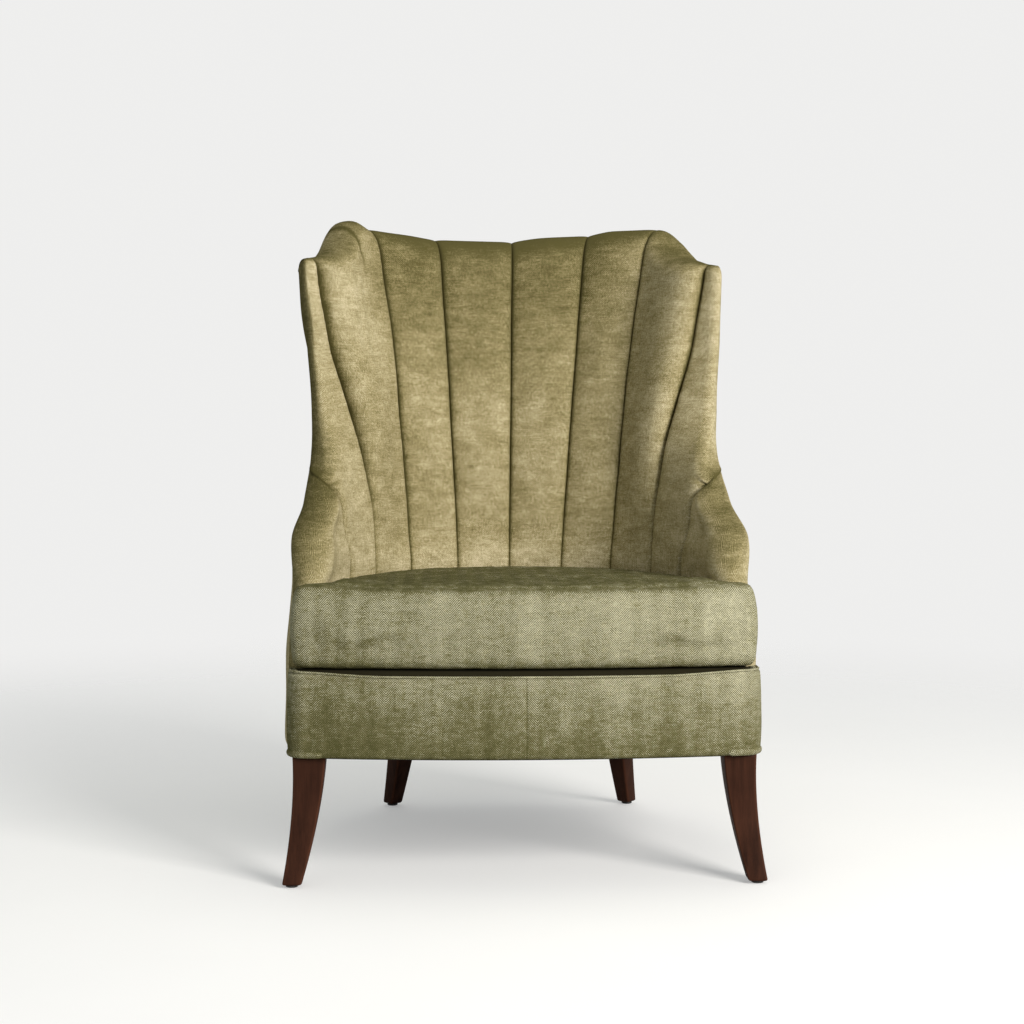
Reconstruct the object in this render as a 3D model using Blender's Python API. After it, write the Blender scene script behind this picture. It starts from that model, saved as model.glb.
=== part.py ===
"""Wingback chair with a channelled barrel back, a loose seat cushion and sabre legs.

Metres, +Z up, the front faces -Y. The back, wings and arms are one shell that wraps round the seat.
A place in it is given by s (which seam: 0 at the middle of the back, 1 to 3 at the seams, 4 at the front
edge of wing and arm), by z (height) and by t (depth from the face towards the outside).
"""

import math

import bmesh
import bpy
import numpy as np
from mathutils import Matrix

# Fit
GAP = 0.0003  # between pieces that touch
LAYER_GAP = 0.0008  # between layers of the shell
EDGE_PLAY = 0.002  # more room round the posts of the front edge
FREE = 0.0015  # between pieces that move past each other
ORIGIN_Y = 0.0069  # moves the plan so that the origin is in the middle of the whole

# Heights
LEG_H = 0.205
RAIL_H = 0.117
DECK_THICK = 0.018
CUSHION_H = 0.122
CUSHION_CROWN = 0.020
FACE_FOOT = 0.014  # the face starts this far above the rails

# Half width and front of the base
SIDE_X = 0.381
FRONT_Y = -0.405

# Seams of the back, on the face: heights above the rails' underside, then x and y of each seam there
SEAM_HEIGHTS = (0.0, 0.265, 0.335, 0.495, 0.675, 0.855)
SEAM_X = (
    (0.0, 0.0, 0.0, 0.0, 0.0, 0.0),
    (0.097, 0.097, 0.101, 0.113, 0.1265, 0.140),
    (0.184, 0.184, 0.1925, 0.2085, 0.2285, 0.260),
    (0.2475, 0.2475, 0.2525, 0.2815, 0.328, 0.352),
)
SEAM_Y = (
    (0.165, 0.165, 0.179, 0.213, 0.255, 0.299),
    (0.152, 0.152, 0.166, 0.200, 0.242, 0.287),
    (0.115, 0.115, 0.128, 0.160, 0.198, 0.242),
    (0.040, 0.040, 0.047, 0.072, 0.104, 0.130),
)
# Front edge of arm and wing: heights above the rails' underside, how far the outside stands past SIDE_X, y
EDGE_HEIGHTS = (0.0, 0.140, 0.262, 0.340, 0.395, 0.465, 0.555, 0.665, 0.795)
EDGE_PAST = (-0.002, -0.002, -0.008, 0.003, -0.014, -0.020, -0.0145, -0.006, 0.004)
EDGE_X = tuple(SIDE_X + past for past in EDGE_PAST)
EDGE_Y = (-0.305, -0.305, -0.275, -0.205, -0.115, -0.020, 0.040, 0.068, 0.090)
# Thickness of the shell at each seam, at heights above the rails' underside
THICK_HEIGHTS = (0.0, 0.265, 0.495, 0.675, 0.855)
THICK = (
    (0.150, 0.122, 0.110, 0.100, 0.092),
    (0.150, 0.122, 0.110, 0.100, 0.092),
    (0.150, 0.125, 0.105, 0.092, 0.078),
    (0.110, 0.090, 0.072, 0.046, 0.030),
    (0.040, 0.040, 0.040, 0.038, 0.032),
)
# Top line, as heights above the rails' underside at values of s: low in the middle, ears, falling wings
TOP_S = (0.0, 1.0, 1.7, 2.05, 2.4, 3.0, 4.0)
TOP_H = (0.878, 0.882, 0.893, 0.900, 0.870, 0.818, 0.793)
# Seam between arm pad and outer channel: s at heights above the rails' underside
ARM_TOP_H = 0.440
ARM_SEAM_H = (0.0, 0.262, 0.335, 0.395, ARM_TOP_H)
ARM_SEAM_S = (3.28, 3.28, 3.40, 3.56, 3.965)
WING_ROWS_H = (0.045, 0.095, 0.145, 0.195)  # rows of facets above the arm's top

# Layers of the shell
FACE_SHARE = 0.28  # channels and arm pads fill this share of the thickness
PAD_SHARE = 0.42  # the back pad ends at this share
BURLAP = 0.0025
COVER = 0.003
CROWN = 0.018  # channel crown above the seat
CROWN_LOW = 0.004  # channel crown behind the cushion
CROWN_RISE = 0.30  # height over which the crown grows
NOSE = 0.013  # roundness of the front edge
EDGE_WRAP = 0.006  # how far the edge wrap reaches back
PAD_END_S = 3.6  # back pad and burlap end here
ROLL = 0.022  # roundness of the top edge
ROLL_IN = 0.80  # how far the roll draws in at its top
ROLL_CORE = 0.45  # share of the thickness that it draws in to
FLUTE_POWER = 0.7  # below 1 makes a flute fuller
COVER_SEAM_S = 1.90  # seam between the back cover and a side cover

# Frame
RAIL_THICK = 0.030
POST_S = (1.56, 1.84)  # back posts and the leg blocks under them
CREST_H = 0.038
EDGE_POST_W = 0.030
ARM_RAIL_W = 0.050
LOWER_RAIL_Z = 0.040  # above the rails' top
LOWER_RAIL_H = 0.040
LOWER_RAIL_THICK = 0.024
STUMP_H = 0.178
ARM_RAIL_H = 0.155

# Plan of the front
BOW = 0.036
CORNER_R = 0.035
BORDER_THICK = 0.011
BORDER_ROUND = 0.004
WELT_R = 0.0025
WELT_DROP = 0.003  # top of the welt below the top of the deck
WELT_BACK = 0.016  # the welt ends this far in front of the arm's foot
BLOCK = 0.050  # front leg block, square

# Legs
FRONT_LEG_IN = 0.0355  # middle of the leg's top in from the side
FRONT_LEG_BACK = 0.068  # and behind the front
FRONT_LEG_TOP = (SIDE_X - FRONT_LEG_IN, FRONT_Y + FRONT_LEG_BACK)
FRONT_LEG_SPLAY = (0.0275, -0.0290)
FRONT_LEG_SIZE = (0.053, 0.0305)  # at the top, at the foot
FRONT_LEG_SWEEP = 1.8
REAR_LEG_TOP = (0.198, 0.214)
REAR_LEG_SPLAY = (0.029, 0.073)
REAR_LEG_SIZE = (0.046, 0.027)
REAR_LEG_SWEEP = 1.25
REAR_LEG_TURN = math.radians(38)
LEG_EASE = 0.003
LEG_STEPS = 6
GLIDE_R = 0.010
GLIDE_H = 0.004
BOLT_R = 0.004
BOLT_IN_LEG = 0.050
BOLT_IN_BLOCK = 0.045
LEG_HOLE_CLEAR = 0.001  # dust cover round the legs

# Seat
CUSHION_CLEAR = 0.007  # cushion to the channels' crowns
CUSHION_INSET = 0.005  # cushion front behind the border's face
CUSHION_EDGE = 0.010  # how far the sides draw in at the seams
CUSHION_BULGE = 0.003
CUSHION_SKIN = 0.003
EAR_SLANT = 0.004  # the cushion's ears slant forwards by this much
ZIP_LONG = 0.300
ZIP_H = 0.008
ZIP_THICK = 0.002
ZIP_SINK = 0.0006  # zip tape below the cover's face
ZIP_STEPS = 25
SLIDER = (0.010, 0.0026, 0.006)  # along the zip, out from it, tall
SLIDER_STOP = 0.004  # the slider stops this far from the zip's ends
SPRING_X = (-0.144, -0.048, 0.048, 0.144)
SPRING_R = 0.0018
SPRING_HALF = 0.022
SPRING_WAVES = 8
SPRING_SEAT = 0.014  # how far the ends rest on the rails
DUST_THICK = 0.001

RAIL_TOP = LEG_H + RAIL_H
DECK_LOW = RAIL_TOP + 2 * SPRING_R + 2 * GAP
DECK_TOP = DECK_LOW + DECK_THICK
CUSHION_LOW = DECK_TOP + GAP
SEAT_Z = CUSHION_LOW + CUSHION_H
ZIP_Z = CUSHION_LOW + 0.5 * CUSHION_H
FACE_LOW = RAIL_TOP + FACE_FOOT
BORDER_TOP = DECK_TOP - WELT_DROP - 2 * WELT_R - GAP
TAU = 2 * math.pi

COLOURS = {
    "upholstery_fabric": ((0.20, 0.17, 0.075), 0.85, 0.0),
    "leg_wood": ((0.075, 0.030, 0.018), 0.35, 0.0),
    "frame_wood": ((0.58, 0.42, 0.25), 0.7, 0.0),
    "foam": ((0.80, 0.74, 0.55), 0.9, 0.0),
    "burlap": ((0.45, 0.34, 0.20), 0.95, 0.0),
    "steel": ((0.45, 0.45, 0.46), 0.35, 1.0),
    "dust_cloth": ((0.02, 0.02, 0.02), 0.95, 0.0),
    "glide_nylon": ((0.03, 0.028, 0.026), 0.5, 0.0),
}


# Scene helpers
def clear_scene():
    for obj in list(bpy.data.objects):
        bpy.data.objects.remove(obj, do_unlink=True)


def collection(name):
    made = bpy.data.collections.new(name)
    bpy.context.scene.collection.children.link(made)
    return made


def finish(obj, slot, into):
    """Links the object and gives it a material of its own in the slot's colour."""
    colour, roughness, metallic = COLOURS[slot]
    material = bpy.data.materials.new(f"{slot}_{obj.name}")
    material.use_nodes = True
    shader = material.node_tree.nodes["Principled BSDF"]
    shader.inputs["Base Color"].default_value = (*colour, 1.0)
    shader.inputs["Roughness"].default_value = roughness
    shader.inputs["Metallic"].default_value = metallic
    obj.data.materials.clear()
    obj.data.materials.append(material)
    into.objects.link(obj)
    return obj


def mesh_object(name, points, faces):
    """A closed mesh with its faces turned outwards."""
    points = np.asarray(points, float) + (0.0, ORIGIN_Y, 0.0)
    mesh = bpy.data.meshes.new(name)
    mesh.from_pydata(points.tolist(), [], faces)
    solid = bmesh.new()
    solid.from_mesh(mesh)
    bmesh.ops.recalc_face_normals(solid, faces=solid.faces)
    solid.to_mesh(mesh)
    solid.free()
    return bpy.data.objects.new(name, mesh)


def split(points, a, b, c, d):
    """A four-cornered face as two triangles along its shorter diagonal, so that like faces split alike."""
    across = np.linalg.norm(points[a] - points[c]) - np.linalg.norm(points[b] - points[d])
    if abs(across) < 1e-6:
        across = abs(points[a][0]) - abs(points[b][0])
    return [(a, b, c), (a, c, d)] if across < 0 else [(a, b, d), (b, c, d)]


def loft(name, rows, ladder=False):
    """Joins like-numbered points of each row to the next row, and caps the two ends.

    With ladder, the second half of a row runs back along the first, and the caps join the two halves.
    """
    rows = np.asarray(rows, float)
    count, around = rows.shape[:2]
    points = rows.reshape(-1, 3)
    faces = []
    for i in range(count - 1):
        for j in range(around):
            k = (j + 1) % around
            faces += split(points, i * around + j, i * around + k, (i + 1) * around + k, (i + 1) * around + j)
    for first in (0, (count - 1) * around):
        if ladder:
            for j in range(around // 2 - 1):
                back = first + around - 1 - j
                faces += split(points, first + j, first + j + 1, back - 1, back)
        else:
            faces.append(tuple(range(first, first + around)))
    return mesh_object(name, points, faces)


def plate(name, outline, low, high):
    """A flat piece: a filled outline given thickness."""
    rows = [[(x, y, z) for x, y in outline] for z in (low, high)]
    return loft(name, rows)


def rod(name, start, end, radius, sides=16):
    """A straight round bar between two points."""
    start, end = np.asarray(start, float), np.asarray(end, float)
    turn = np.arange(sides) * TAU / sides
    ring = np.stack([radius * np.cos(turn), radius * np.sin(turn), 0 * turn], 1)
    return loft(name, [ring + start, ring + end])


def wire(name, points, radius, sides=2, cyclic=False):
    """A bent wire or cord along points, as a curve with a round section, made into a mesh."""
    curve = bpy.data.curves.new(name, "CURVE")
    curve.dimensions = "3D"
    curve.bevel_depth = radius
    curve.bevel_resolution = sides
    curve.use_fill_caps = True
    spline = curve.splines.new("POLY")
    spline.points.add(len(points) - 1)
    for point, place in zip(spline.points, points):
        point.co = (place[0], place[1] + ORIGIN_Y, place[2], 1.0)
    spline.use_cyclic_u = cyclic
    drawn = bpy.data.objects.new(name + "_curve", curve)
    mesh = bpy.data.meshes.new_from_object(drawn)
    bpy.data.objects.remove(drawn, do_unlink=True)
    solid = bmesh.new()
    solid.from_mesh(mesh)
    bmesh.ops.remove_doubles(solid, verts=solid.verts, dist=1e-6)
    bmesh.ops.recalc_face_normals(solid, faces=solid.faces)
    solid.to_mesh(mesh)
    solid.free()
    return bpy.data.objects.new(name, mesh)


def cut(obj, cutter, cutters):
    """Takes the cutter's shape out of the object."""
    cutters.objects.link(cutter)
    cutter.hide_render = True
    cutter.display_type = "WIRE"
    boolean = obj.modifiers.new("cut_" + cutter.name, "BOOLEAN")
    boolean.operation = "DIFFERENCE"
    boolean.solver = "EXACT"
    boolean.object = cutter


# The shell that back, wings and arms follow
def smooth(xs, ys, x):
    """A smooth line through points that never overshoots them."""
    xs, ys = np.asarray(xs, float), np.asarray(ys, float)
    step = np.diff(xs)
    rise = np.diff(ys) / step
    slope = np.empty_like(ys)
    slope[0], slope[-1] = rise[0], rise[-1]
    same = rise[:-1] * rise[1:] > 0
    both = np.where(same, rise[:-1] + rise[1:], 1.0)
    slope[1:-1] = np.where(same, 2 * rise[:-1] * rise[1:] / both, 0.0)
    x = np.maximum(np.asarray(x, float), xs[0])
    i = np.clip(np.searchsorted(xs, x) - 1, 0, len(xs) - 2)
    u = (x - xs[i]) / step[i]
    inside = (
        (1 + 2 * u) * (1 - u) ** 2 * ys[i]
        + u * (1 - u) ** 2 * step[i] * slope[i]
        + u * u * (3 - 2 * u) * ys[i + 1]
        + u * u * (u - 1) * step[i] * slope[i + 1]
    )
    return np.where(u > 1, ys[-1] + slope[-1] * (x - xs[-1]), inside)


def thickness(s, z):
    """Thickness of the shell, eased from seam to seam."""
    h = z - LEG_H
    at = np.stack([smooth(THICK_HEIGHTS, row, h) for row in THICK])
    i = np.clip(s.astype(int), 0, 3)
    u = s - i
    u = u * u * (3 - 2 * u)
    n = np.arange(len(s))
    return at[i, n] + u * (at[i + 1, n] - at[i, n])


def face_plan(s, z):
    """Plan place and plan direction on the face, for s from 0 to 4: arcs from seam to seam."""
    h = z - LEG_H
    seams = [(smooth(SEAM_HEIGHTS, x, h), smooth(SEAM_HEIGHTS, y, h)) for x, y in zip(SEAM_X, SEAM_Y)]
    edge_x = smooth(EDGE_HEIGHTS, EDGE_X, h) - smooth(THICK_HEIGHTS, THICK[4], h)
    seams.append((edge_x, smooth(EDGE_HEIGHTS, EDGE_Y, h)))
    at = np.array(seams)
    chord = np.diff(at, axis=0)
    length = np.linalg.norm(chord, axis=1, keepdims=True)
    heading = np.empty_like(at)
    heading[0, 0], heading[0, 1] = 1.0, 0.0
    for k in range(1, 4):
        turned = chord[k - 1] / length[k - 1] ** 2 + chord[k] / length[k] ** 2
        heading[k] = turned / np.linalg.norm(turned, axis=0, keepdims=True)
    last = chord[3] / length[3]
    heading[4] = 2 * (last * heading[3]).sum(0) * last - heading[3]
    n = np.arange(len(s))
    i = np.clip(s.astype(int), 0, 3)
    u = (s - i)[:, None]
    long = length[i, 0, n][:, None]
    p, q = at[i, :, n], at[i + 1, :, n]
    a, b = long * heading[i, :, n], long * heading[i + 1, :, n]
    place = (1 + 2 * u) * (1 - u) ** 2 * p + u * (1 - u) ** 2 * a
    place = place + u * u * (3 - 2 * u) * q + u * u * (u - 1) * b
    going = 6 * u * (u - 1) * (p - q) + (1 - u) * (1 - 3 * u) * a + u * (3 * u - 2) * b
    return place, going / np.linalg.norm(going, axis=1, keepdims=True)


def shell(s, z, t, ahead=0.0):
    """Points of the smooth shell: t is outwards from the face, ahead runs on past the front edge."""
    s, z, t, ahead = np.broadcast_arrays(*(np.asarray(v, float) for v in (s, z, t, ahead)))
    side = np.where(s < 0, -1.0, 1.0)
    place, going = face_plan(np.abs(s).ravel(), z.ravel())
    place, going = place.reshape(*s.shape, 2), going.reshape(*s.shape, 2)
    x = place[..., 0] - t * going[..., 1] + ahead * going[..., 0]
    y = place[..., 1] + t * going[..., 0] + ahead * going[..., 1]
    return np.stack([side * x, y, z], -1)


def top(s):
    return LEG_H + smooth(TOP_S, TOP_H, np.abs(s))


# Every layer of the shell is cut into the same facets, so that layers keep their distance
KNOTS = np.array([0.0, 0.5, 1.0, 1.5, 2.0, 2.5, 3.0, 3.3, 3.6, 3.8, 4.0])
ARM_TOP = LEG_H + ARM_TOP_H
LEVELS = [LEG_H, RAIL_TOP, FACE_LOW, 0.5 * (FACE_LOW + SEAT_Z), SEAT_Z]
LEVELS += list(np.linspace(SEAT_Z, ARM_TOP, 6)[1:]) + list(ARM_TOP + np.array(WING_ROWS_H))
TOP_STEPS = (0.33, 0.67, 1.0)


def facet_grid():
    """Heights, plan places, outward directions and thicknesses at the facets' corners."""
    z = np.empty((len(KNOTS), len(LEVELS) + len(TOP_STEPS)))
    z[:, : len(LEVELS)] = LEVELS
    for j, f in enumerate(TOP_STEPS):
        z[:, len(LEVELS) + j] = LEVELS[-1] + f * (top(KNOTS) - ROLL - LEVELS[-1])
    s = np.broadcast_to(KNOTS[:, None], z.shape)
    place, going = face_plan(s.ravel(), z.ravel())
    thick = thickness(s.ravel(), z.ravel()).reshape(z.shape)
    going = going.reshape(*z.shape, 2)
    out = np.stack([-going[..., 1], going[..., 0]], -1)
    return z, place.reshape(*z.shape, 2), out, going, thick


GRID_Z, GRID_PLAN, GRID_OUT, GRID_GOING, GRID_THICK = facet_grid()
LAST_ROW = GRID_Z.shape[1] - 1


def blend(grid, s, r):
    """Straight-line value between the facets' corners, at s and row r."""
    i = np.clip(np.searchsorted(KNOTS, s, "right") - 1, 0, len(KNOTS) - 2)
    u = (s - KNOTS[i]) / (KNOTS[i + 1] - KNOTS[i])
    j = np.clip(r.astype(int), 0, LAST_ROW - 1)
    v = r - j
    if grid.ndim == 3:
        u, v = u[:, None], v[:, None]
    low = (1 - u) * grid[i, j] + u * grid[i + 1, j]
    high = (1 - u) * grid[i, j + 1] + u * grid[i + 1, j + 1]
    return (1 - v) * low + v * high


def layer(s, r, depth, ahead=0.0):
    """Points on the faceted layer whose depth is given as a function of the shell's thickness."""
    s, r, ahead = np.broadcast_arrays(*(np.atleast_1d(np.asarray(v, float)) for v in (s, r, ahead)))
    side, s = np.where(s < 0, -1.0, 1.0), np.abs(s)
    plan = blend(GRID_PLAN + GRID_OUT * depth(GRID_THICK)[..., None], s, r)
    plan = plan + ahead[:, None] * blend(GRID_GOING, s, r)
    return np.column_stack([side * plan[:, 0], plan[:, 1], blend(GRID_Z, s, r)])


def row_at(s, z):
    """The row number at which the facets reach a height."""
    s, z = np.broadcast_arrays(np.abs(np.asarray(s, float)), np.asarray(z, float))
    rows = np.arange(LAST_ROW + 1.0)
    found = []
    for one, height in zip(s, z):
        heights = blend(GRID_Z, np.full(len(rows), one), rows)
        found.append(np.interp(height, heights, rows))
    return np.array(found)


def below_top(s, drop):
    """The row number that lies this far below the rolled top edge."""
    end = blend(GRID_Z, np.abs(s), np.full(len(s), float(LAST_ROW)))
    return row_at(s, end - drop)


def from_edge(r, inset):
    """The s that lies this far back from the front edge, measured along the facets."""
    knots = KNOTS[::-1]
    plan = blend(GRID_PLAN, knots, np.full(len(knots), float(r)))
    run = np.concatenate([[0.0], np.cumsum(np.linalg.norm(np.diff(plan, axis=0), axis=1))])
    return float(np.interp(inset, run, knots))


def crown(z):
    u = np.clip((z - SEAT_Z) / CROWN_RISE, 0.0, 1.0)
    return CROWN_LOW + (CROWN - CROWN_LOW) * u * u * (3 - 2 * u)


def frame_inside(thick):
    return PAD_SHARE * thick + BURLAP + 2 * LAYER_GAP


def frame_outside(thick):
    return thick - COVER - LAYER_GAP


def rail_inside(thick):
    return np.maximum(frame_inside(thick), frame_outside(thick) - RAIL_THICK)


def level(z):
    return lambda s: row_at(s, z)


def under(drop):
    return lambda s: below_top(s, drop)


def slab(starts, ends, low, high, inner, outer, count=0):
    """Rows of a piece of the shell. starts and ends give s for a row; low and high give rows for s."""
    ends_at = np.array([4.0])
    first, last = low(ends_at)[0], high(ends_at)[0]
    whole = [float(r) for r in range(LAST_ROW + 1) if first + 0.05 < r < last - 0.05]
    rows = []
    for r in [first, *whole, last]:
        s0, s1 = starts(r), ends(r)
        if count:
            s = np.linspace(s0, s1, count)
        else:
            knots = np.concatenate([-KNOTS[:0:-1], KNOTS])
            fixed_s = knots[(knots > starts(first) + 0.01) & (knots < min(ends(first), ends(last)) - 0.01)]
            s = np.concatenate([[s0], fixed_s, [s1]])
        at = low(s) if r == first else high(s) if r == last else np.full(len(s), r)
        rows.append(np.concatenate([layer(s, at, inner), layer(s, at, outer)[::-1]]))
    return rows


def fixed(value):
    return lambda r: value


def mirrored(rows):
    return np.asarray(rows) * (-1.0, 1.0, 1.0)


# Upholstery of the shell
ROUND = np.array([0.0, 0.04, 0.14, 0.30, 0.5, 0.70, 0.86, 0.96, 1.0])
OVER = (0.0, 0.30, 0.65, 0.90, 1.0)
SEAM = 0.0025  # half of a seam's gap, in s
FIRST_FACE_ROW = LEVELS.index(FACE_LOW)
ARM_ROW = LEVELS.index(LEVELS[-5])


def flute(u):
    return np.clip(1 - (2 * u - 1) ** 2, 0.0, 1.0) ** FLUTE_POWER


def face_depth(thick):
    return FACE_SHARE * thick


def clear_depth(thick):
    return FACE_SHARE * thick - LAYER_GAP


def rolled(points, s, f):
    """Draws a row of the roll over the top in towards the middle of the shell."""
    shrink = ROLL_IN * (1 - math.sqrt(max(0.0, 1 - f * f)))
    z = points[:, 2]
    core = shell(s, z, ROLL_CORE * thickness(s, z))
    return points + shrink * (core - points)


def over_points(s, f, depth_share):
    """A row of the roll: points above the facets' last row."""
    foot = layer(s, LAST_ROW, lambda thick: depth_share * thick)
    foot[:, 2] += f * ROLL
    return foot


def channel_rows(k):
    """Channel between seams k and k + 1: a flute in front, flat behind, rolled over the crest rail."""
    s = k + SEAM + ROUND * (1 - 2 * SEAM)
    behind = s[[8, 4, 0]]
    rows = []
    for r in range(FIRST_FACE_ROW, LAST_ROW + 1):
        at = below_top(s, GAP) if r == LAST_ROW else np.full(len(s), float(r))
        z = blend(GRID_Z, s, at)
        front = shell(s, z, -crown(z) * flute(ROUND))
        rows.append(np.concatenate([front, layer(behind, at[[8, 4, 0]], face_depth)]))
    for f in OVER:
        z = blend(GRID_Z, s, np.full(len(s), float(LAST_ROW))) + f * ROLL
        front = shell(s, z, -crown(z) * flute(ROUND))
        points = np.concatenate([front, over_points(behind, f, 1.0)])
        rows.append(rolled(points, np.concatenate([s, behind]), f))
    return rows


def nose(r):
    """Four points round the front edge, from the face to the outside."""
    points = []
    for turn in np.radians([36, 72, 108, 144]):
        share = 0.5 - 0.5 * math.cos(turn)
        points.append(layer(4.0, r, lambda thick: thick * share, NOSE * math.sin(turn)))
    return np.concatenate(points)


def arm_seam(z):
    return float(smooth(ARM_SEAM_H, ARM_SEAM_S, np.array([z - LEG_H]))[0])


def wrapped_back(r, start):
    """Back of a face piece that wraps the front edge: outside, then behind the face to its start."""
    wrap = max(from_edge(r, EDGE_WRAP), start + 0.02)
    between = [start + 0.6 * (wrap - start), start + 0.3 * (wrap - start)]
    return np.concatenate([
        layer(wrap, r, lambda thick: thick),
        layer([wrap, *between, start], r, clear_depth),
    ])


def outer_channel_rows():
    """The channel next to the front edge: below it ends at the arm seam, above it wraps the wing's edge."""
    start = 3 + SEAM
    rows = []
    for r in range(FIRST_FACE_ROW, ARM_ROW + 1):
        at = float(r) - (0.01 if r == ARM_ROW else 0.0)
        z = float(blend(GRID_Z, np.array([4.0]), np.array([at]))[0])
        end = arm_seam(z) - 2 * SEAM
        s = start + ROUND * (end - start)
        front = shell(s, z, -crown(np.full(len(s), z)) * flute(ROUND))
        shares = (0.2, 0.4, 0.6, 0.8)
        side = [layer(end, at, lambda thick, share=share: share * clear_depth(thick)) for share in shares]
        back = layer(np.linspace(end, start, 5), at, clear_depth)
        rows.append(np.concatenate([front, *side, back]))
    s = start + ROUND * (4.0 - start)
    for r in range(ARM_ROW, LAST_ROW + 1):
        at = float(below_top(np.array([4.0]), GAP)[0]) if r == LAST_ROW else float(r)
        z = blend(GRID_Z, s, np.full(len(s), at))
        front = shell(s, z, -crown(z) * flute(ROUND))
        rows.append(np.concatenate([front, nose(at), wrapped_back(at, start)]))
    wrap = from_edge(LAST_ROW, EDGE_WRAP)
    behind = np.linspace(wrap, start, 5)
    for f in OVER:
        z = blend(GRID_Z, s, np.full(len(s), float(LAST_ROW))) + f * ROLL
        front = shell(s, z, -crown(z) * flute(ROUND))
        edge = nose(LAST_ROW) + (0.0, 0.0, f * ROLL)
        points = np.concatenate([front, edge, over_points(behind, f, 1.0)])
        rows.append(rolled(points, np.concatenate([s, np.full(4, 4.0), behind]), f))
    return rows


def arm_pad_rows():
    """Arm pad from the arm seam forward, wrapped round the front edge."""
    rows = []
    for r in range(FIRST_FACE_ROW, ARM_ROW + 1):
        at = float(r) - (0.02 if r == ARM_ROW else 0.0)
        z = float(blend(GRID_Z, np.array([4.0]), np.array([at]))[0])
        start = arm_seam(z) + 2 * SEAM
        s = start + ROUND * (4.0 - start)
        front = shell(s, z, -CROWN_LOW * flute(ROUND))
        rows.append(np.concatenate([front, nose(at), wrapped_back(at, start)]))
    return rows


def make_shell_upholstery(parts):
    for k in range(3):
        right = channel_rows(k)
        finish(loft(f"back_channel_{5 + k}", right), "upholstery_fabric", parts)
        finish(loft(f"back_channel_{4 - k}", mirrored(right)), "upholstery_fabric", parts)
    right = outer_channel_rows()
    finish(loft("back_channel_8", right), "upholstery_fabric", parts)
    finish(loft("back_channel_1", mirrored(right)), "upholstery_fabric", parts)
    right = arm_pad_rows()
    finish(loft("right_arm_pad", right), "upholstery_fabric", parts)
    finish(loft("left_arm_pad", mirrored(right)), "upholstery_fabric", parts)

    low = level(RAIL_TOP + LOWER_RAIL_Z)
    pad_ends = (fixed(-PAD_END_S), fixed(PAD_END_S))
    pad = slab(*pad_ends, low, under(LAYER_GAP), lambda t: face_depth(t) + LAYER_GAP, lambda t: PAD_SHARE * t)
    finish(loft("back_pad", pad, True), "foam", parts)
    burlap = slab(
        *pad_ends, low, under(LAYER_GAP),
        lambda t: PAD_SHARE * t + LAYER_GAP, lambda t: PAD_SHARE * t + LAYER_GAP + BURLAP,
    )
    finish(loft("back_burlap", burlap, True), "burlap", parts)

    seam = COVER_SEAM_S
    cover = (level(LEG_H), under(LAYER_GAP), lambda t: t - COVER, lambda t: t)
    back = slab(fixed(-seam), fixed(seam), *cover)
    finish(loft("outside_back_cover", back, True), "upholstery_fabric", parts)

    def side_end(r):
        return from_edge(r, GAP if r < FIRST_FACE_ROW else EDGE_WRAP + 2 * GAP)

    side = slab(fixed(seam + 2 * SEAM), side_end, *cover)
    finish(loft("right_outside_cover", side, True), "upholstery_fabric", parts)
    finish(loft("left_outside_cover", mirrored(side), True), "upholstery_fabric", parts)


# Wooden frame inside the shell
def make_shell_frame(parts):
    def pair(name, rows):
        finish(loft("right_" + name, rows, True), "frame_wood", parts)
        finish(loft("left_" + name, mirrored(rows), True), "frame_wood", parts)

    rail = (level(LEG_H), level(RAIL_TOP))
    inner_end, outer_start = POST_S[0] - 2 * SEAM, POST_S[1] + 2 * SEAM
    rows = slab(fixed(-inner_end), fixed(inner_end), *rail, rail_inside, frame_outside)
    finish(loft("back_rail", rows, True), "frame_wood", parts)
    pair("side_rail", slab(fixed(outer_start), fixed(4.0), *rail, rail_inside, frame_outside))
    pair("rear_leg_block", slab(fixed(POST_S[0]), fixed(POST_S[1]), *rail, frame_inside, frame_outside))

    crest = (under(LAYER_GAP + CREST_H), under(LAYER_GAP))
    post = (level(RAIL_TOP + GAP), under(LAYER_GAP + GAP + CREST_H))
    pair("back_post", slab(fixed(POST_S[0]), fixed(POST_S[1]), *post, frame_inside, frame_outside))
    rows = slab(fixed(-POST_S[1]), fixed(POST_S[1]), *crest, frame_inside, frame_outside)
    finish(loft("crest_rail", rows, True), "frame_wood", parts)
    inside = EDGE_WRAP + 4 * GAP
    pair("wing_top_rail", slab(
        fixed(outer_start), lambda r: from_edge(r, inside), *crest,
        frame_inside, lambda t: frame_outside(t) - EDGE_PLAY,
    ))
    low = RAIL_TOP + LOWER_RAIL_Z
    rows = slab(
        fixed(-inner_end), fixed(inner_end), level(low), level(low + LOWER_RAIL_H),
        frame_inside, lambda t: frame_inside(t) + LOWER_RAIL_THICK,
    )
    finish(loft("lower_back_rail", rows, True), "frame_wood", parts)

    def edge_piece(name, low, high, width):
        pair(name, slab(
            lambda r: from_edge(r, inside + width), lambda r: from_edge(r, inside), low, high,
            lambda t: frame_inside(t) + EDGE_PLAY, lambda t: frame_outside(t) - EDGE_PLAY, 4,
        ))

    stump_top = RAIL_TOP + GAP + STUMP_H
    arm_top = stump_top + ARM_RAIL_H
    edge_piece("arm_stump", level(RAIL_TOP + GAP), level(stump_top), EDGE_POST_W)
    edge_piece("arm_rail", level(stump_top + GAP), level(arm_top), ARM_RAIL_W)
    edge_piece("wing_post", level(arm_top + GAP), under(2 * LAYER_GAP + CREST_H), EDGE_POST_W)


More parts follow.
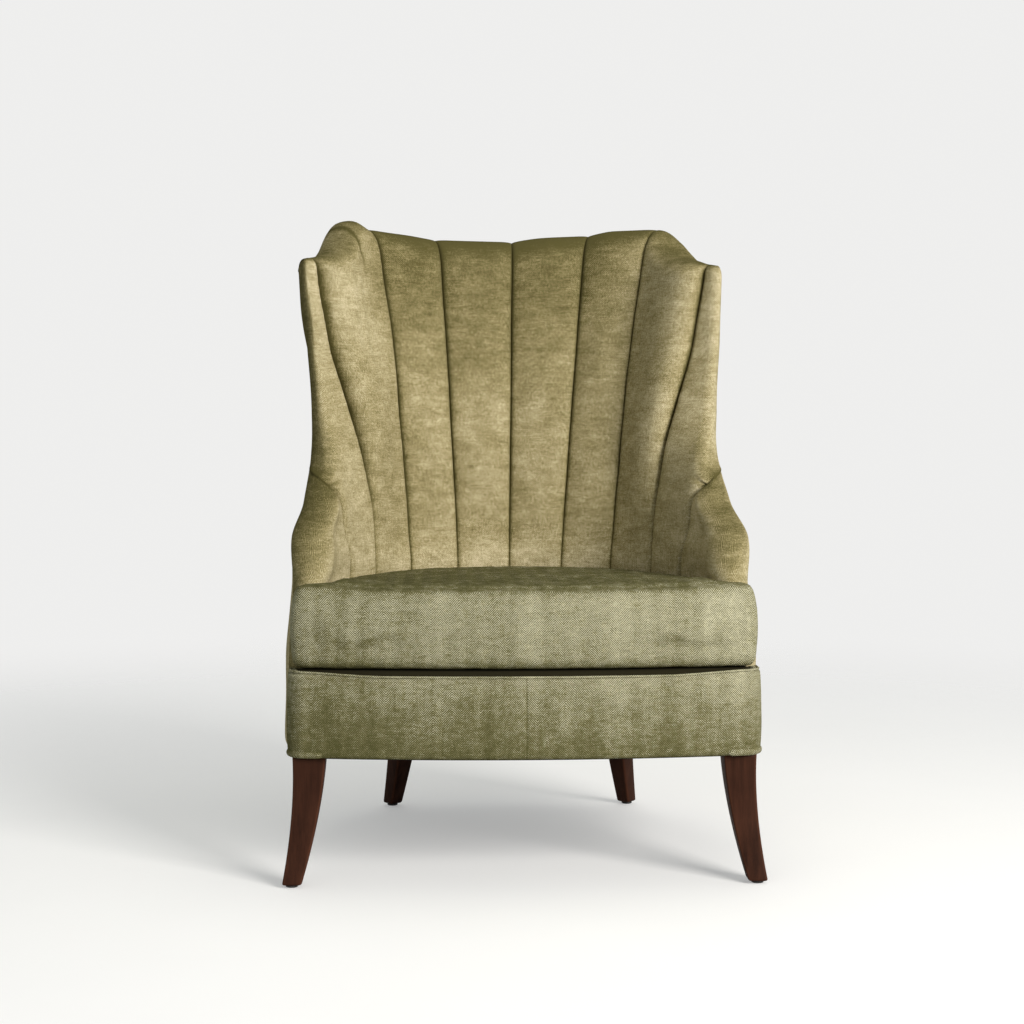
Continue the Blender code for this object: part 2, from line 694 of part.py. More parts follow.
# Front of the base
def front_half(inset, end_y):
    """Right half of the bowed front in plan, set in from the border's face, from the side to the middle."""
    slope = 0.2
    for _ in range(6):
        lean = math.atan(slope)
        meet = SIDE_X - CORNER_R * (1 - math.sin(lean))
        slope = 2 * BOW * meet / SIDE_X**2
    centre = (SIDE_X - CORNER_R, FRONT_Y + BOW * (meet / SIDE_X) ** 2 + CORNER_R * math.cos(lean))
    points = [(SIDE_X - inset, end_y)]
    for turn in np.linspace(0.0, -math.pi / 2 + lean, 6):
        reach = CORNER_R - inset
        points.append((centre[0] + reach * math.cos(turn), centre[1] + reach * math.sin(turn)))
    for x in np.linspace(meet, 0.0, 8)[1:]:
        out = np.array([2 * BOW * x / SIDE_X**2, -1.0])
        out = out / np.linalg.norm(out)
        points.append((x - inset * out[0], FRONT_Y + BOW * (x / SIDE_X) ** 2 - inset * out[1]))
    return points


def both_sides(half):
    """A right half from side to middle, followed by its mirror image."""
    return list(half) + [(-x, y) for x, y in half[-2::-1]]


def front_y(x, inset):
    half = front_half(inset, 0.0)[::-1]
    return float(np.interp(abs(x), [p[0] for p in half[:-1]], [p[1] for p in half[:-1]]))


def make_base(parts):
    border_end = float(layer(4.0, 0.5, lambda thick: thick, GAP)[0, 1]) - GAP
    rows = []
    low = LEG_H
    for z, draw in ((low, BORDER_ROUND), (low + BORDER_ROUND, 0.0), (BORDER_TOP - BORDER_ROUND, 0.0),
                    (BORDER_TOP, BORDER_ROUND)):
        outer = both_sides(front_half(draw, border_end))
        inner = both_sides(front_half(BORDER_THICK, border_end))
        rows.append([(x, y, z) for x, y in outer + inner[::-1]])
    finish(loft("front_border", rows), "upholstery_fabric", parts)

    welt = both_sides(front_half(BORDER_ROUND + WELT_R, border_end - WELT_BACK))
    welt_z = BORDER_TOP + WELT_R + GAP
    finish(wire("border_welt", [(x, y, welt_z) for x, y in welt], WELT_R), "upholstery_fabric", parts)

    block_in = SIDE_X - BORDER_THICK - GAP - BLOCK
    face = BORDER_THICK + GAP
    rail_x = np.linspace(-block_in + GAP, block_in - GAP, 13)
    outer = [(x, front_y(x, face)) for x in rail_x]
    inner = [(x, front_y(x, face) + RAIL_THICK) for x in rail_x[::-1]]
    finish(plate("front_rail", outer + inner, LEG_H, RAIL_TOP), "frame_wood", parts)

    rear = [layer(4.0, 0.5, depth, GAP)[0, :2] for depth in (frame_inside, frame_outside)]
    corner = [p for p in front_half(face, rear[0][1]) if p[0] > block_in and p[1] < border_end + GAP]
    corner += [(block_in, front_y(block_in, face)), (block_in, rear[0][1]), tuple(rear[0])]
    for side, name in ((1, "right"), (-1, "left")):
        outline = [(side * x, y) for x, y in corner]
        block = plate(f"{name}_front_leg_block", outline, LEG_H, RAIL_TOP)
        finish(block, "frame_wood", parts)


def leg_centre(z, top_at, splay, sweep):
    down = (1 - z / LEG_H) ** sweep
    return np.array([top_at[0] + splay[0] * down, top_at[1] + splay[1] * down])


def leg_rows(top_at, splay, size, sweep, turn):
    """A square leg with eased edges that tapers and sweeps outwards to the foot."""
    rows = []
    foot = GLIDE_H + GAP
    ease = LEG_EASE
    for z, draw in [(foot, ease)] + [(z, 0.0) for z in np.linspace(foot + ease, LEG_H - GAP, LEG_STEPS)]:
        f = z / LEG_H
        half = 0.5 * (size[1] + (size[0] - size[1]) * f) - draw
        corners = []
        for ax, ay in ((1, 1), (-1, 1), (-1, -1), (1, -1)):
            first, second = (half - ease, half), (half, half - ease)
            if ax * ay > 0:
                first, second = second, first
            corners += [(ax * first[0], ay * first[1]), (ax * second[0], ay * second[1])]
        corners = np.array(corners)
        spin = np.array([[math.cos(turn), -math.sin(turn)], [math.sin(turn), math.cos(turn)]])
        plan = corners @ spin.T + leg_centre(z, top_at, splay, sweep)
        rows.append(np.column_stack([plan, np.full(len(plan), z)]))
    return rows


def make_legs(parts, cutters):
    front = (FRONT_LEG_TOP, FRONT_LEG_SPLAY, FRONT_LEG_SIZE, FRONT_LEG_SWEEP, 0.0)
    rear = (REAR_LEG_TOP, REAR_LEG_SPLAY, REAR_LEG_SIZE, REAR_LEG_SWEEP, -REAR_LEG_TURN)
    for place, numbers in (("front", front), ("rear", rear)):
        rows = np.array(leg_rows(*numbers))
        foot = leg_centre(GLIDE_H, *numbers[:2], numbers[3])
        head = np.array(numbers[0])
        for side, name in ((1, "right"), (-1, "left")):
            flip = np.array([side, 1.0, 1.0])
            leg = finish(loft(f"{name}_{place}_leg", rows * flip), "leg_wood", parts)
            glide = rod(f"{name}_{place}_glide", (side * foot[0], foot[1], 0.0),
                        (side * foot[0], foot[1], GLIDE_H), GLIDE_R)
            finish(glide, "glide_nylon", parts)
            low = np.array([side * head[0], head[1], LEG_H - BOLT_IN_LEG])
            high = np.array([side * head[0], head[1], LEG_H + BOLT_IN_BLOCK])
            finish(rod(f"{name}_{place}_leg_bolt", low, high, BOLT_R, 12), "steel", parts)
            block = bpy.data.objects[f"{name}_{place}_leg_block"]
            more = np.array([0.0, 0.0, GAP])
            cut(leg, rod(f"hole_{name}_{place}_leg", low - more, high + more, BOLT_R + GAP, 12), cutters)
            cut(block, rod(f"hole_{name}_{place}_block", low - more, high + more, BOLT_R + GAP, 12), cutters)


# Seat
def seat_outline(back_inset, front_inset, nose_clear):
    """Right half of the seat in plan, from the back's middle round the arm to the front's middle."""
    s = np.concatenate([np.linspace(0.0, 3.0, 9), np.linspace(3.2, 4.0, 5)])
    inner = shell(s, SEAT_Z, -back_inset)[:, :2]
    turn = shell(4.0, CUSHION_LOW, -back_inset, NOSE + nose_clear)[:2]
    front = front_half(front_inset, turn[1] - EAR_SLANT)
    front[0] = (front[0][0], max(front[0][1], front[1][1] + GAP))
    return [tuple(p) for p in inner] + [(inner[-1][0], turn[1])] + front


def round_trip(half):
    """Closes a half outline that starts and ends on the middle line."""
    return np.array(list(half) + [(-x, y) for x, y in half[-2:0:-1]])


def cushion_solid(name, skin):
    """Boxed cushion: crowned top, sides drawn in at both seams; skin is taken off all round."""
    low, high = CUSHION_LOW + skin, SEAT_Z - skin
    middle = np.array([0.0, FRONT_Y + BOW])
    rows = []
    for f, draw in ((0.0, CUSHION_EDGE), (0.10, 0.25 * CUSHION_EDGE), (0.5, -CUSHION_BULGE),
                    (0.90, 0.25 * CUSHION_EDGE), (1.0, CUSHION_EDGE)):
        draw = draw + skin
        half = seat_outline(CROWN_LOW + CUSHION_CLEAR + draw, CUSHION_INSET + draw, CUSHION_CLEAR + draw)
        ring = round_trip(half)
        rows.append(np.column_stack([ring, np.full(len(ring), low + f * (high - low))]))
    edge = rows[-1][:, :2]
    centre_y = 0.5 * (edge[:, 1].min() + edge[:, 1].max())
    half_w, half_d = np.abs(edge[:, 0]).max(), 0.5 * np.ptp(edge[:, 1])
    for scale in (0.90, 0.66, 0.36, 0.08):
        ring = middle + scale * (edge - middle)
        rise = (1 - (ring[:, 0] / half_w) ** 2) * (1 - ((ring[:, 1] - centre_y) / half_d) ** 2)
        z = high + CUSHION_CROWN * np.sqrt(np.clip(rise, 0.0, 1.0)) * (1 - 0.55 * scale**6)
        rows.append(np.column_stack([ring, z]))
    return loft(name, rows)


def zip_centre():
    """Middle and radius of the arc that the cushion's rear follows: the zip slider turns about it."""
    back = shell(np.array([0.0, 1.0]), SEAT_Z, 0.0)
    fall = back[0, 1] - back[1, 1]
    radius = (back[1, 0] ** 2 + fall**2) / (2 * fall)
    return back[0, 1] - radius, radius - CROWN_LOW - CUSHION_CLEAR + CUSHION_BULGE


def arc_piece(name, near, far, first, last, half_h, steps):
    """A piece bent along the zip's arc: near and far from the arc's middle, between two turns."""
    centre_y = zip_centre()[0]
    turns = np.linspace(first, last, steps)
    ring = [(near, turn) for turn in turns] + [(far, turn) for turn in turns[::-1]]
    outline = [(reach * math.sin(turn), centre_y + reach * math.cos(turn)) for reach, turn in ring]
    return plate(name, outline, ZIP_Z - half_h, ZIP_Z + half_h)


def make_seat(parts, cutters):
    cover = finish(cushion_solid("cushion_cover", 0.0), "upholstery_fabric", parts)
    cut(cover, cushion_solid("cushion_hollow", CUSHION_SKIN), cutters)
    finish(cushion_solid("cushion_core", CUSHION_SKIN + LAYER_GAP), "foam", parts)

    radius = zip_centre()[1]
    half_turn = 0.5 * ZIP_LONG / radius
    half_h = 0.5 * ZIP_H
    slot_turn = half_turn + 2 * GAP / radius
    slot = (radius - 2 * CUSHION_SKIN, radius + CUSHION_SKIN, -slot_turn, slot_turn, half_h + GAP)
    cut(cover, arc_piece("zip_slot", *slot, ZIP_STEPS), cutters)
    face = radius - ZIP_SINK
    tape = arc_piece("cushion_zip", face - ZIP_THICK, face, -half_turn, half_turn, half_h, ZIP_STEPS)
    finish(tape, "glide_nylon", parts)
    long, out, tall = SLIDER
    begin = -half_turn + SLIDER_STOP / radius
    slider = (face + GAP, face + GAP + out, begin, begin + long / radius, 0.5 * tall)
    finish(arc_piece("zip_slider", *slider, 2), "steel", parts)

    deck = round_trip(seat_outline(CROWN_LOW + FREE, BORDER_THICK + FREE, FREE))
    finish(plate("seat_deck_pad", deck, DECK_LOW, DECK_TOP), "foam", parts)

    wire_z = RAIL_TOP + GAP + SPRING_R
    rear = layer(np.linspace(0.0, POST_S[0], 40), 1.0, rail_inside)
    for i, x in enumerate(SPRING_X):
        first = front_y(x, BORDER_THICK + GAP) + RAIL_THICK - SPRING_SEAT
        last = float(np.interp(abs(x), rear[:, 0], rear[:, 1])) + SPRING_SEAT
        begin, end = first + 2 * SPRING_SEAT, last - 2 * SPRING_SEAT
        step = (end - begin) / (2 * SPRING_WAVES)
        route = [(x, first, wire_z), (x, begin - 0.5 * step, wire_z)]
        for n in range(2 * SPRING_WAVES + 1):
            swing = SPRING_HALF if n % 2 else -SPRING_HALF
            for part in (-0.25, 0.25):
                route.append((x + swing, begin + (n + part) * step, wire_z))
        route += [(x, end + 0.5 * step, wire_z), (x, last, wire_z)]
        finish(wire(f"seat_spring_{i + 1}", route, SPRING_R, 1), "steel", parts)

    low = LEG_H - 2 * GAP - DUST_THICK
    inside = layer(KNOTS, 0.0, frame_outside)[:, :2]
    front = front_half(BORDER_THICK + GAP, EDGE_Y[0] - FREE)
    sheet = round_trip([tuple(p) for p in inside] + front)
    dust = finish(plate("dust_cover", sheet, low, low + DUST_THICK), "dust_cloth", parts)
    for name, at, size, turn in (
        ("front", FRONT_LEG_TOP, FRONT_LEG_SIZE[0], 0.0),
        ("rear", REAR_LEG_TOP, REAR_LEG_SIZE[0], -REAR_LEG_TURN),
    ):
        for side in (1, -1):
            half = 0.5 * size + LEG_HOLE_CLEAR
            corners = np.array([(half, half), (-half, half), (-half, -half), (half, -half)])
            spin = np.array([[math.cos(turn), -math.sin(turn)], [math.sin(turn), math.cos(turn)]])
            plan = corners @ spin.T + at
            around_leg = plate(f"dust_hole_{name}_{side}", plan * (side, 1), low - DUST_THICK, LEG_H)
            cut(dust, around_leg, cutters)


# Empties on the axes of what moves
def carry(name, at, nodes, parts, parent=None):
    """An empty on a joint's axis, and the pieces that move with it as its children."""
    empty = bpy.data.objects.new(name, None)
    empty.location = at
    parts.objects.link(empty)
    for node in nodes:
        bpy.data.objects[node].parent = empty
        bpy.data.objects[node].matrix_parent_inverse = Matrix.Translation(at).inverted()
    if parent:
        empty.parent = parent
        empty.matrix_parent_inverse = Matrix.Translation(parent.location).inverted()
    return empty


def make_axes(parts):
    lift = (0.0, 0.0, CUSHION_LOW)
    cushion = carry("cushion_lift_axis", lift, ("cushion_cover", "cushion_core", "cushion_zip"), parts)
    turn = (0.0, zip_centre()[0] + ORIGIN_Y, ZIP_Z)
    carry("zip_slider_axis", turn, ("zip_slider",), parts, cushion)


def main():
    clear_scene()
    parts = collection("wingback_chair")
    cutters = collection("cutters")
    make_shell_upholstery(parts)
    make_shell_frame(parts)
    make_base(parts)
    make_legs(parts, cutters)
    make_seat(parts, cutters)
    make_axes(parts)
    bpy.context.view_layer.update()


main()
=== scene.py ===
"""Wingback chair: the looks of its upholstery, cushion, legs and studio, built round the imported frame.

Metres, +Z up, the front faces -Y. Back, wings and arms are one shell that wraps round the seat. A place in
it is given by s (0 at the middle seam, 1 to 3 at the seams, 4 at the front edge of wing and arm), by z
(height) and by t (depth from the face towards the outside).
"""

import math

import bpy
import numpy as np
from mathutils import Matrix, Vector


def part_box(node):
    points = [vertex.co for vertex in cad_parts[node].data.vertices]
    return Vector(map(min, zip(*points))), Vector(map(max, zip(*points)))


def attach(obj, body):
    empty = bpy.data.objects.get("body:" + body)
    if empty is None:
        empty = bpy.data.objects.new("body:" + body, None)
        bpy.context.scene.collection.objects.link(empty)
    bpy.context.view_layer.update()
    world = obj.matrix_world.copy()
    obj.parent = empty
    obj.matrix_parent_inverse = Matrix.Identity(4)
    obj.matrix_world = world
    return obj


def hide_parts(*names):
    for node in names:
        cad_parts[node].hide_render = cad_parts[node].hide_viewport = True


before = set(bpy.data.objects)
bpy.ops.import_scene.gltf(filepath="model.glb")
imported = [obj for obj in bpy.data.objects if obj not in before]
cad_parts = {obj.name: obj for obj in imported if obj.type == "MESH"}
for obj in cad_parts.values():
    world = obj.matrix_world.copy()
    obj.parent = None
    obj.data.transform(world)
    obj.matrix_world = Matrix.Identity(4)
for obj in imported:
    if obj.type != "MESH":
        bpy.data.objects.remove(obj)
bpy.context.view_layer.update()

bl_info = {
    "name": "Wingback chair",
    "version": (1, 0, 0),
    "blender": (4, 5, 0),
    "location": "View3D > Sidebar > Chair",
    "description": "Upholstery, legs, finishes and studio of a channelled wingback chair",
    "category": "Add Mesh",
}

TAU = 2 * math.pi

# Heights and places from the frame
LEG_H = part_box("back_rail")[0].z
DECK_LOW, DECK_TOP = (corner.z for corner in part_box("seat_deck_pad"))
CUSHION_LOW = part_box("cushion_cover")[0].z
FACE_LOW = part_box("back_channel_5")[0].z
ARM_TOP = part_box("right_arm_pad")[1].z
BORDER_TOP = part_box("front_border")[1].z
SIDE_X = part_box("front_border")[1].x
FRONT_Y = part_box("front_border")[0].y
GLIDE_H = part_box("right_front_glide")[1].z
DUST_LOW, DUST_TOP = (corner.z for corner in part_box("dust_cover"))
CUSHION_H = 0.122
SEAT_Z = CUSHION_LOW + CUSHION_H
PLAN_FRONT = -0.405  # the front's y in the plan tables below
PLAN_Y = FRONT_Y - PLAN_FRONT

# Seams of the back, on the face: heights above the rails' underside, then plan x and y of each seam there
SEAM_HEIGHTS = (0.0, 0.265, 0.335, 0.495, 0.675, 0.855)
SEAM_X = (
    (0.0, 0.0, 0.0, 0.0, 0.0, 0.0),
    (0.0955, 0.0955, 0.099, 0.1105, 0.1235, 0.138),
    (0.182, 0.182, 0.188, 0.204, 0.223, 0.2515),
)
OUTER_SEAM_X = {
    1: (0.2475, 0.2475, 0.2525, 0.2805, 0.3255, 0.3575),
    -1: (0.2475, 0.2475, 0.2525, 0.2845, 0.336, 0.367),
}
SEAM_Y = (
    (0.165, 0.165, 0.179, 0.213, 0.255, 0.299),
    (0.152, 0.152, 0.166, 0.200, 0.242, 0.287),
    (0.115, 0.115, 0.128, 0.160, 0.198, 0.242),
    (0.040, 0.040, 0.047, 0.071, 0.094, 0.110),
)
# The seams lean a little to one side: plan shift of the middle seam at heights above the rails' underside
LEAN_HEIGHTS = (0.26, 0.54, 0.90)
LEAN_X = (-0.0065, -0.001, 0.0055)
# Front edge of arm and wing: heights above the rails' underside, half width outside on each side, plan y
EDGE_HEIGHTS = (0.0, 0.140, 0.262, 0.340, 0.395, 0.465, 0.555, 0.665, 0.795)
EDGE_X = {
    1: (0.379, 0.379, 0.371, 0.388, 0.374, 0.3765, 0.390, 0.3915, 0.394),
    -1: (0.379, 0.379, 0.375, 0.387, 0.3755, 0.3785, 0.388, 0.3875, 0.396),
}
EDGE_Y = (-0.305, -0.305, -0.275, -0.205, -0.115, -0.020, 0.040, 0.068, 0.090)
# Thickness of the shell at each seam
THICK_HEIGHTS = (0.0, 0.265, 0.495, 0.675, 0.855)
THICK = (
    (0.150, 0.122, 0.110, 0.100, 0.092),
    (0.150, 0.122, 0.110, 0.100, 0.092),
    (0.150, 0.125, 0.105, 0.092, 0.078),
    (0.110, 0.090, 0.072, 0.042, 0.026),
    (0.046, 0.046, 0.043, 0.035, 0.026),
)
# Top line at values of s, as heights above the rails' underside: the ears differ from side to side
TOP_S = (0.0, 0.4, 1.0, 1.4, 2.0, 2.2, 2.3, 2.4, 2.6, 2.8, 3.0, 4.0)
TOP_LEFT_H = (0.886, 0.887, 0.889, 0.8955, 0.905, 0.9175, 0.9135, 0.899, 0.864, 0.843, 0.836, 0.832)
TOP_RIGHT_H = (0.886, 0.894, 0.8985, 0.906, 0.9065, 0.8825, 0.8685, 0.8575, 0.842, 0.8335, 0.826, 0.822)
# Seam between arm pad and outer channel: s at heights above the rails' underside
PAD_TOP = ARM_TOP - 0.016  # the arm pad's top on the face; it rises round the front edge
PAD_RISE = 0.028
ARM_SEAM_H = (0.0, 0.262, 0.335, 0.395, PAD_TOP - LEG_H)
ARM_SEAM_S = (3.28, 3.28, 3.43, 3.70, 3.96)

# Front of the base and legs, in plan
BOW = 0.036
CORNER_R = 0.035
# Legs: plan place at the top, splay of the foot, width at top and foot, power of the sweep, turn in plan
FRONT_LEG = {
    "at": (0.3455, -0.3370), "splay": (0.0275, -0.0290), "size": (0.053, 0.0305),
    "sweep": 1.8, "turn": 0.0,
}
REAR_LEG = {
    "at": (0.198, 0.214), "splay": (0.029, 0.073), "size": (0.046, 0.027),
    "sweep": 1.25, "turn": -math.radians(38),
}


# Sizes and colours that a user would change
class ChairSizes(bpy.types.PropertyGroup):
    """Sizes of the upholstery."""

    edge_puff: bpy.props.FloatProperty(
        name="Edge puff", description="How far a channel stands out beside its seams", default=0.0070,
        min=0.0, max=0.02, unit="LENGTH")
    crown: bpy.props.FloatProperty(
        name="Crown", description="Further rise of a channel in its middle", default=0.0110,
        min=0.0, max=0.02, unit="LENGTH")
    roll: bpy.props.FloatProperty(
        name="Top roll", description="Height of the roll over the top edge of the back", default=0.055,
        min=0.01, max=0.08, unit="LENGTH")
    seam_sink: bpy.props.FloatProperty(
        name="Seam depth", description="How far the seams sink below the face", default=0.0040,
        min=0.0, max=0.006, unit="LENGTH")
    cushion_rise: bpy.props.FloatProperty(
        name="Cushion rise", description="Most that the cushion's top swells", default=0.004,
        min=0.0, max=0.03, unit="LENGTH")


class ChairColours(bpy.types.PropertyGroup):
    """Colours of the finishes."""

    pile_dark: bpy.props.FloatVectorProperty(
        name="Pile, dark", description="Crushed pile of the cloth", subtype="COLOR",
        default=(0.098, 0.085, 0.030), min=0.0, max=1.0)
    pile_mid: bpy.props.FloatVectorProperty(
        name="Pile, middle", description="Main colour of the cloth", subtype="COLOR",
        default=(0.305, 0.256, 0.124), min=0.0, max=1.0)
    pile_light: bpy.props.FloatVectorProperty(
        name="Pile, light", description="Raised pile of the cloth", subtype="COLOR",
        default=(0.660, 0.580, 0.385), min=0.0, max=1.0)
    wood_dark: bpy.props.FloatVectorProperty(
        name="Leg wood, dark", description="Dark grain of the legs", subtype="COLOR",
        default=(0.013, 0.0054, 0.0034), min=0.0, max=1.0)
    wood_light: bpy.props.FloatVectorProperty(
        name="Leg wood, light", description="Light grain of the legs", subtype="COLOR",
        default=(0.066, 0.0245, 0.0135), min=0.0, max=1.0)
    floor: bpy.props.FloatVectorProperty(
        name="Floor", description="Plain studio floor", subtype="COLOR",
        default=(0.70, 0.70, 0.695), min=0.0, max=1.0)


# Shader maths
class Link:
    """An output socket of a material; sums and products with it add Math nodes."""

    def __init__(self, finish, socket):
        self.finish = finish
        self.socket = socket

    def out(self, name):
        """Another output of the same node."""
        return Link(self.finish, self.socket.node.outputs[name])

    def maths(self, operation, *values):
        """Result of a Math node."""
        return self.finish.node("ShaderNodeMath", {"operation": operation}, dict(enumerate(values)))

    def __add__(self, other):
        return self.maths("ADD", self, other)

    __radd__ = __add__

    def __sub__(self, other):
        return self.maths("SUBTRACT", self, other)

    def __rsub__(self, other):
        return self.maths("SUBTRACT", other, self)

    def __mul__(self, other):
        return self.maths("MULTIPLY", self, other)

    __rmul__ = __mul__

    def __truediv__(self, other):
        return self.maths("DIVIDE", self, other)

    def floor(self):
        return self.maths("FLOOR", self)

    def fraction(self):
        return self.maths("FRACT", self)

    def sine(self):
        return self.maths("SINE", self)

    def least(self, other):
        return self.maths("MINIMUM", self, other)

    def most(self, other):
        return self.maths("MAXIMUM", self, other)

    def step(self, low, high):
        """Eases from 0 at low to 1 at high."""
        return self.finish.node(
            "ShaderNodeMapRange", {"interpolation_type": "SMOOTHSTEP"},
            {"Value": self, "From Min": low, "From Max": high})


class Finish:
    """A material under construction."""

    def __init__(self, name):
        self.material = bpy.data.materials.new(name)
        self.material.use_nodes = True
        self.tree = self.material.node_tree
        self.shader = self.tree.nodes["Principled BSDF"]

    def node(self, kind, settings=None, values=None):
        """Adds a node: its settings, a ramp's stops among them, then the values or links of its sockets."""
        made = self.tree.nodes.new(kind)
        for key, value in (settings or {}).items():
            if key == "stops":
                while len(made.color_ramp.elements) < len(value):
                    made.color_ramp.elements.new(0.5)
                for element, (place, colour) in zip(made.color_ramp.elements, value):
                    element.position = place
                    element.color = (*colour, 1.0)
            else:
                setattr(made, key, value)
        for key, value in (values or {}).items():
            self.give(made.inputs[key], value)
        shown = [socket for socket in made.outputs if socket.enabled]
        return Link(self, shown[0])

    def give(self, socket, value):
        """Links a socket, or sets its own value."""
        if isinstance(value, Link):
            self.tree.links.new(value.socket, socket)
        elif isinstance(value, tuple) and socket.type == "RGBA" and len(value) == 3:
            socket.default_value = (*value, 1.0)
        else:
            socket.default_value = value

    def surface(self, **values):
        """Sets inputs of the shader by name, with _ for a space."""
        for key, value in values.items():
            self.give(self.shader.inputs[key.replace("_", " ")], value)
        return self.material

    def place(self):
        """Places on the object in metres."""
        return self.node("ShaderNodeTexCoord").out("Object")

    def noise(self, at, scale, detail=2.0, roughness=0.5, stretch=(1.0, 1.0, 1.0)):
        """Noise from 0 to 1; stretch gives the cells' density along each axis."""
        mapped = self.node("ShaderNodeMapping", None, {"Vector": at, "Scale": stretch})
        values = {"Vector": mapped, "Scale": scale, "Detail": detail, "Roughness": roughness}
        return self.node("ShaderNodeTexNoise", None, values)

    def mix(self, share, first, second):
        """Colour mixed from first to second."""
        made = self.tree.nodes.new("ShaderNodeMix")
        made.data_type = "RGBA"
        for socket, value in zip((made.inputs[0], made.inputs[6], made.inputs[7]), (share, first, second)):
            self.give(socket, value)
        return Link(self, made.outputs[2])

    def bump(self, height, distance, strength):
        """Normal that follows small heights."""
        values = {"Height": height, "Distance": distance, "Strength": strength}
        return self.node("ShaderNodeBump", None, values)

    def marked(self, name):
        """A number that the mesh stores for each point under that name."""
        return self.node("ShaderNodeAttribute", {"attribute_name": name}).out("Fac")


def pile_cloth(name, colours, weave=1.0, tone=0.0, painted_light=0.0, bands=0.0, tint=(1.0, 1.0, 1.0)):
    """Brushed chenille: herringbone weave, slub streaks, soft patches, with painted shade where it faces up,
    at seams and high on the back.

    weave is the strength of the herringbone, tone lightens or darkens the whole cloth, the painted light
    argument lightens it towards the right as painted light of the key lamp, bands gives upright stripes and
    tint shifts its colours.
    """
    finish = Finish(name)
    at = finish.place()
    flat = finish.node("ShaderNodeUVMap", {"uv_map": "weave"})
    across = finish.node("ShaderNodeSeparateXYZ", None, {"Vector": flat})
    up = across.out("Y")
    column_w, twill = 0.0150, 0.0037
    thread = 0.35 + 0.10 * weave
    wobble = finish.noise(at, 90.0, 2.0)
    column = (across / column_w + 0.12 * wobble).floor()
    slant = (column * 0.5).fraction() * 4.0 - 1.0
    twist = (up / twill + slant * across / (0.9 * twill) + 0.6 * wobble) * TAU
    broken = finish.noise(at, 110.0, 2.0, 0.6)
    herringbone = 0.5 + twist.sine() * broken
    patches = finish.noise(at, 7.0, 3.0, 0.55)
    crush = finish.noise(at, 26.0, 4.0, 0.65, (1.0, 1.0, 1.6))
    brushed = finish.noise(at, 1.0, 3.0, 0.6, (22.0, 22.0, 130.0))
    slub = finish.noise(at, 1.0, 2.0, 0.6, (60.0, 60.0, 560.0))
    warp = finish.noise(at, 1.0, 2.0, 0.6, (470.0, 470.0, 40.0))
    speck = finish.noise(at, 420.0, 2.0, 0.6)
    stripes = finish.noise(at, 1.0, 2.0, 0.6, (30.0, 12.0, 2.2))
    nap, crease = finish.marked("nap"), finish.marked("crease")
    space = finish.node("ShaderNodeSeparateXYZ", None, {"Vector": at})
    aside = space.most(0.0 - space)
    high = space.out("Z")
    # Painted shade: the middle of the back darker above the seat and darker still towards its top.
    painted_upper_shade = 0.35 * high.step(0.48, 0.54) + 0.65 * high.step(0.76, 1.03)
    painted_upper_shade = painted_upper_shade * (1.0 - aside.step(0.16, 0.32))
    # The ramp's place sums the cloth's own pattern with painted shade (faces turned up, seams, high on the
    # back) and painted light towards the right.
    lightness = (
        0.64 + tone + painted_light * space + bands * (stripes - 0.5)
        + 0.34 * (patches - 0.5) + 0.50 * (crush - 0.5) + 0.30 * (brushed - 0.5)
        + thread * (slub - 0.5) + 0.45 * (warp - 0.5) + 0.85 * (speck - 0.5)
        + 0.25 * weave * (herringbone - 0.5) - 0.66 * nap - 0.39 * painted_upper_shade - 0.85 * crease
    )
    piles = (colours.pile_dark, colours.pile_mid, colours.pile_light)
    tinted = [tuple(c * t for c, t in zip(pile, tint)) for pile in piles]
    stops = tuple(zip((0.05, 0.48, 0.92), tinted))
    colour = finish.node("ShaderNodeValToRGB", {"stops": stops}, {"Fac": lightness})
    relief = 0.55 * weave * herringbone + 0.5 * slub + 0.5 * crush + 0.5 * speck
    finish.shader.inputs["Sheen Weight"].default_value = 0.02
    finish.shader.inputs["Sheen Roughness"].default_value = 0.45
    finish.shader.inputs["Sheen Tint"].default_value = (0.9, 0.85, 0.6, 1.0)
    finish.shader.inputs["Specular IOR Level"].default_value = 0.0
    return finish.surface(
        Base_Color=colour, Roughness=0.80 - 0.12 * lightness, Normal=finish.bump(relief, 0.0011, 0.6))


def leg_wood(name, colours):
    """Dark stained walnut: long grain, fine pores and a satin lacquer worn lighter on the edges."""
    finish = Finish(name)
    at = finish.place()
    grain = finish.noise(at, 1.0, 4.0, 0.6, (95.0, 95.0, 7.0))
    pores = finish.noise(at, 1.0, 2.0, 0.6, (900.0, 900.0, 40.0))
    figure = finish.noise(at, 14.0, 2.0)
    edge = finish.marked("edge")
    lightness = 0.9 * (grain - 0.5) + 0.5 * (figure - 0.5) + 0.25 * (pores - 0.5) + 0.45 + 0.40 * edge
    stops = ((0.1, tuple(colours.wood_dark)), (0.9, tuple(colours.wood_light)))
    colour = finish.node("ShaderNodeValToRGB", {"stops": stops}, {"Fac": lightness})
    finish.shader.inputs["Coat Roughness"].default_value = 0.30
    finish.shader.inputs["Specular IOR Level"].default_value = 0.04
    return finish.surface(
        Base_Color=colour, Roughness=0.48 + 0.2 * (pores - 0.5), Coat_Weight=0.03 * figure,
        Normal=finish.bump(0.6 * pores + 0.4 * grain, 0.0003, 0.5))


def plain_finish(name, dark, light, roughness, scale, stretch=(1.0, 1.0, 1.0), metallic=0.0, gloss=0.1):
    """A finish mottled between two colours, with noise at one scale for grain, weave or brushing."""
    finish = Finish(name)
    at = finish.place()
    grain = finish.noise(at, scale, 4.0, 0.6, stretch)
    fine = finish.noise(at, 6.0 * scale, 2.0, 0.5, stretch)
    mottled = (grain * 0.75 + fine * 0.5 - 0.12).most(0.0).least(1.0)
    finish.shader.inputs["Specular IOR Level"].default_value = gloss
    return finish.surface(
        Base_Color=finish.mix(mottled, dark, light), Roughness=roughness + 0.2 * (fine - 0.5),
        Metallic=metallic, Normal=finish.bump(mottled, 0.0004, 0.5))
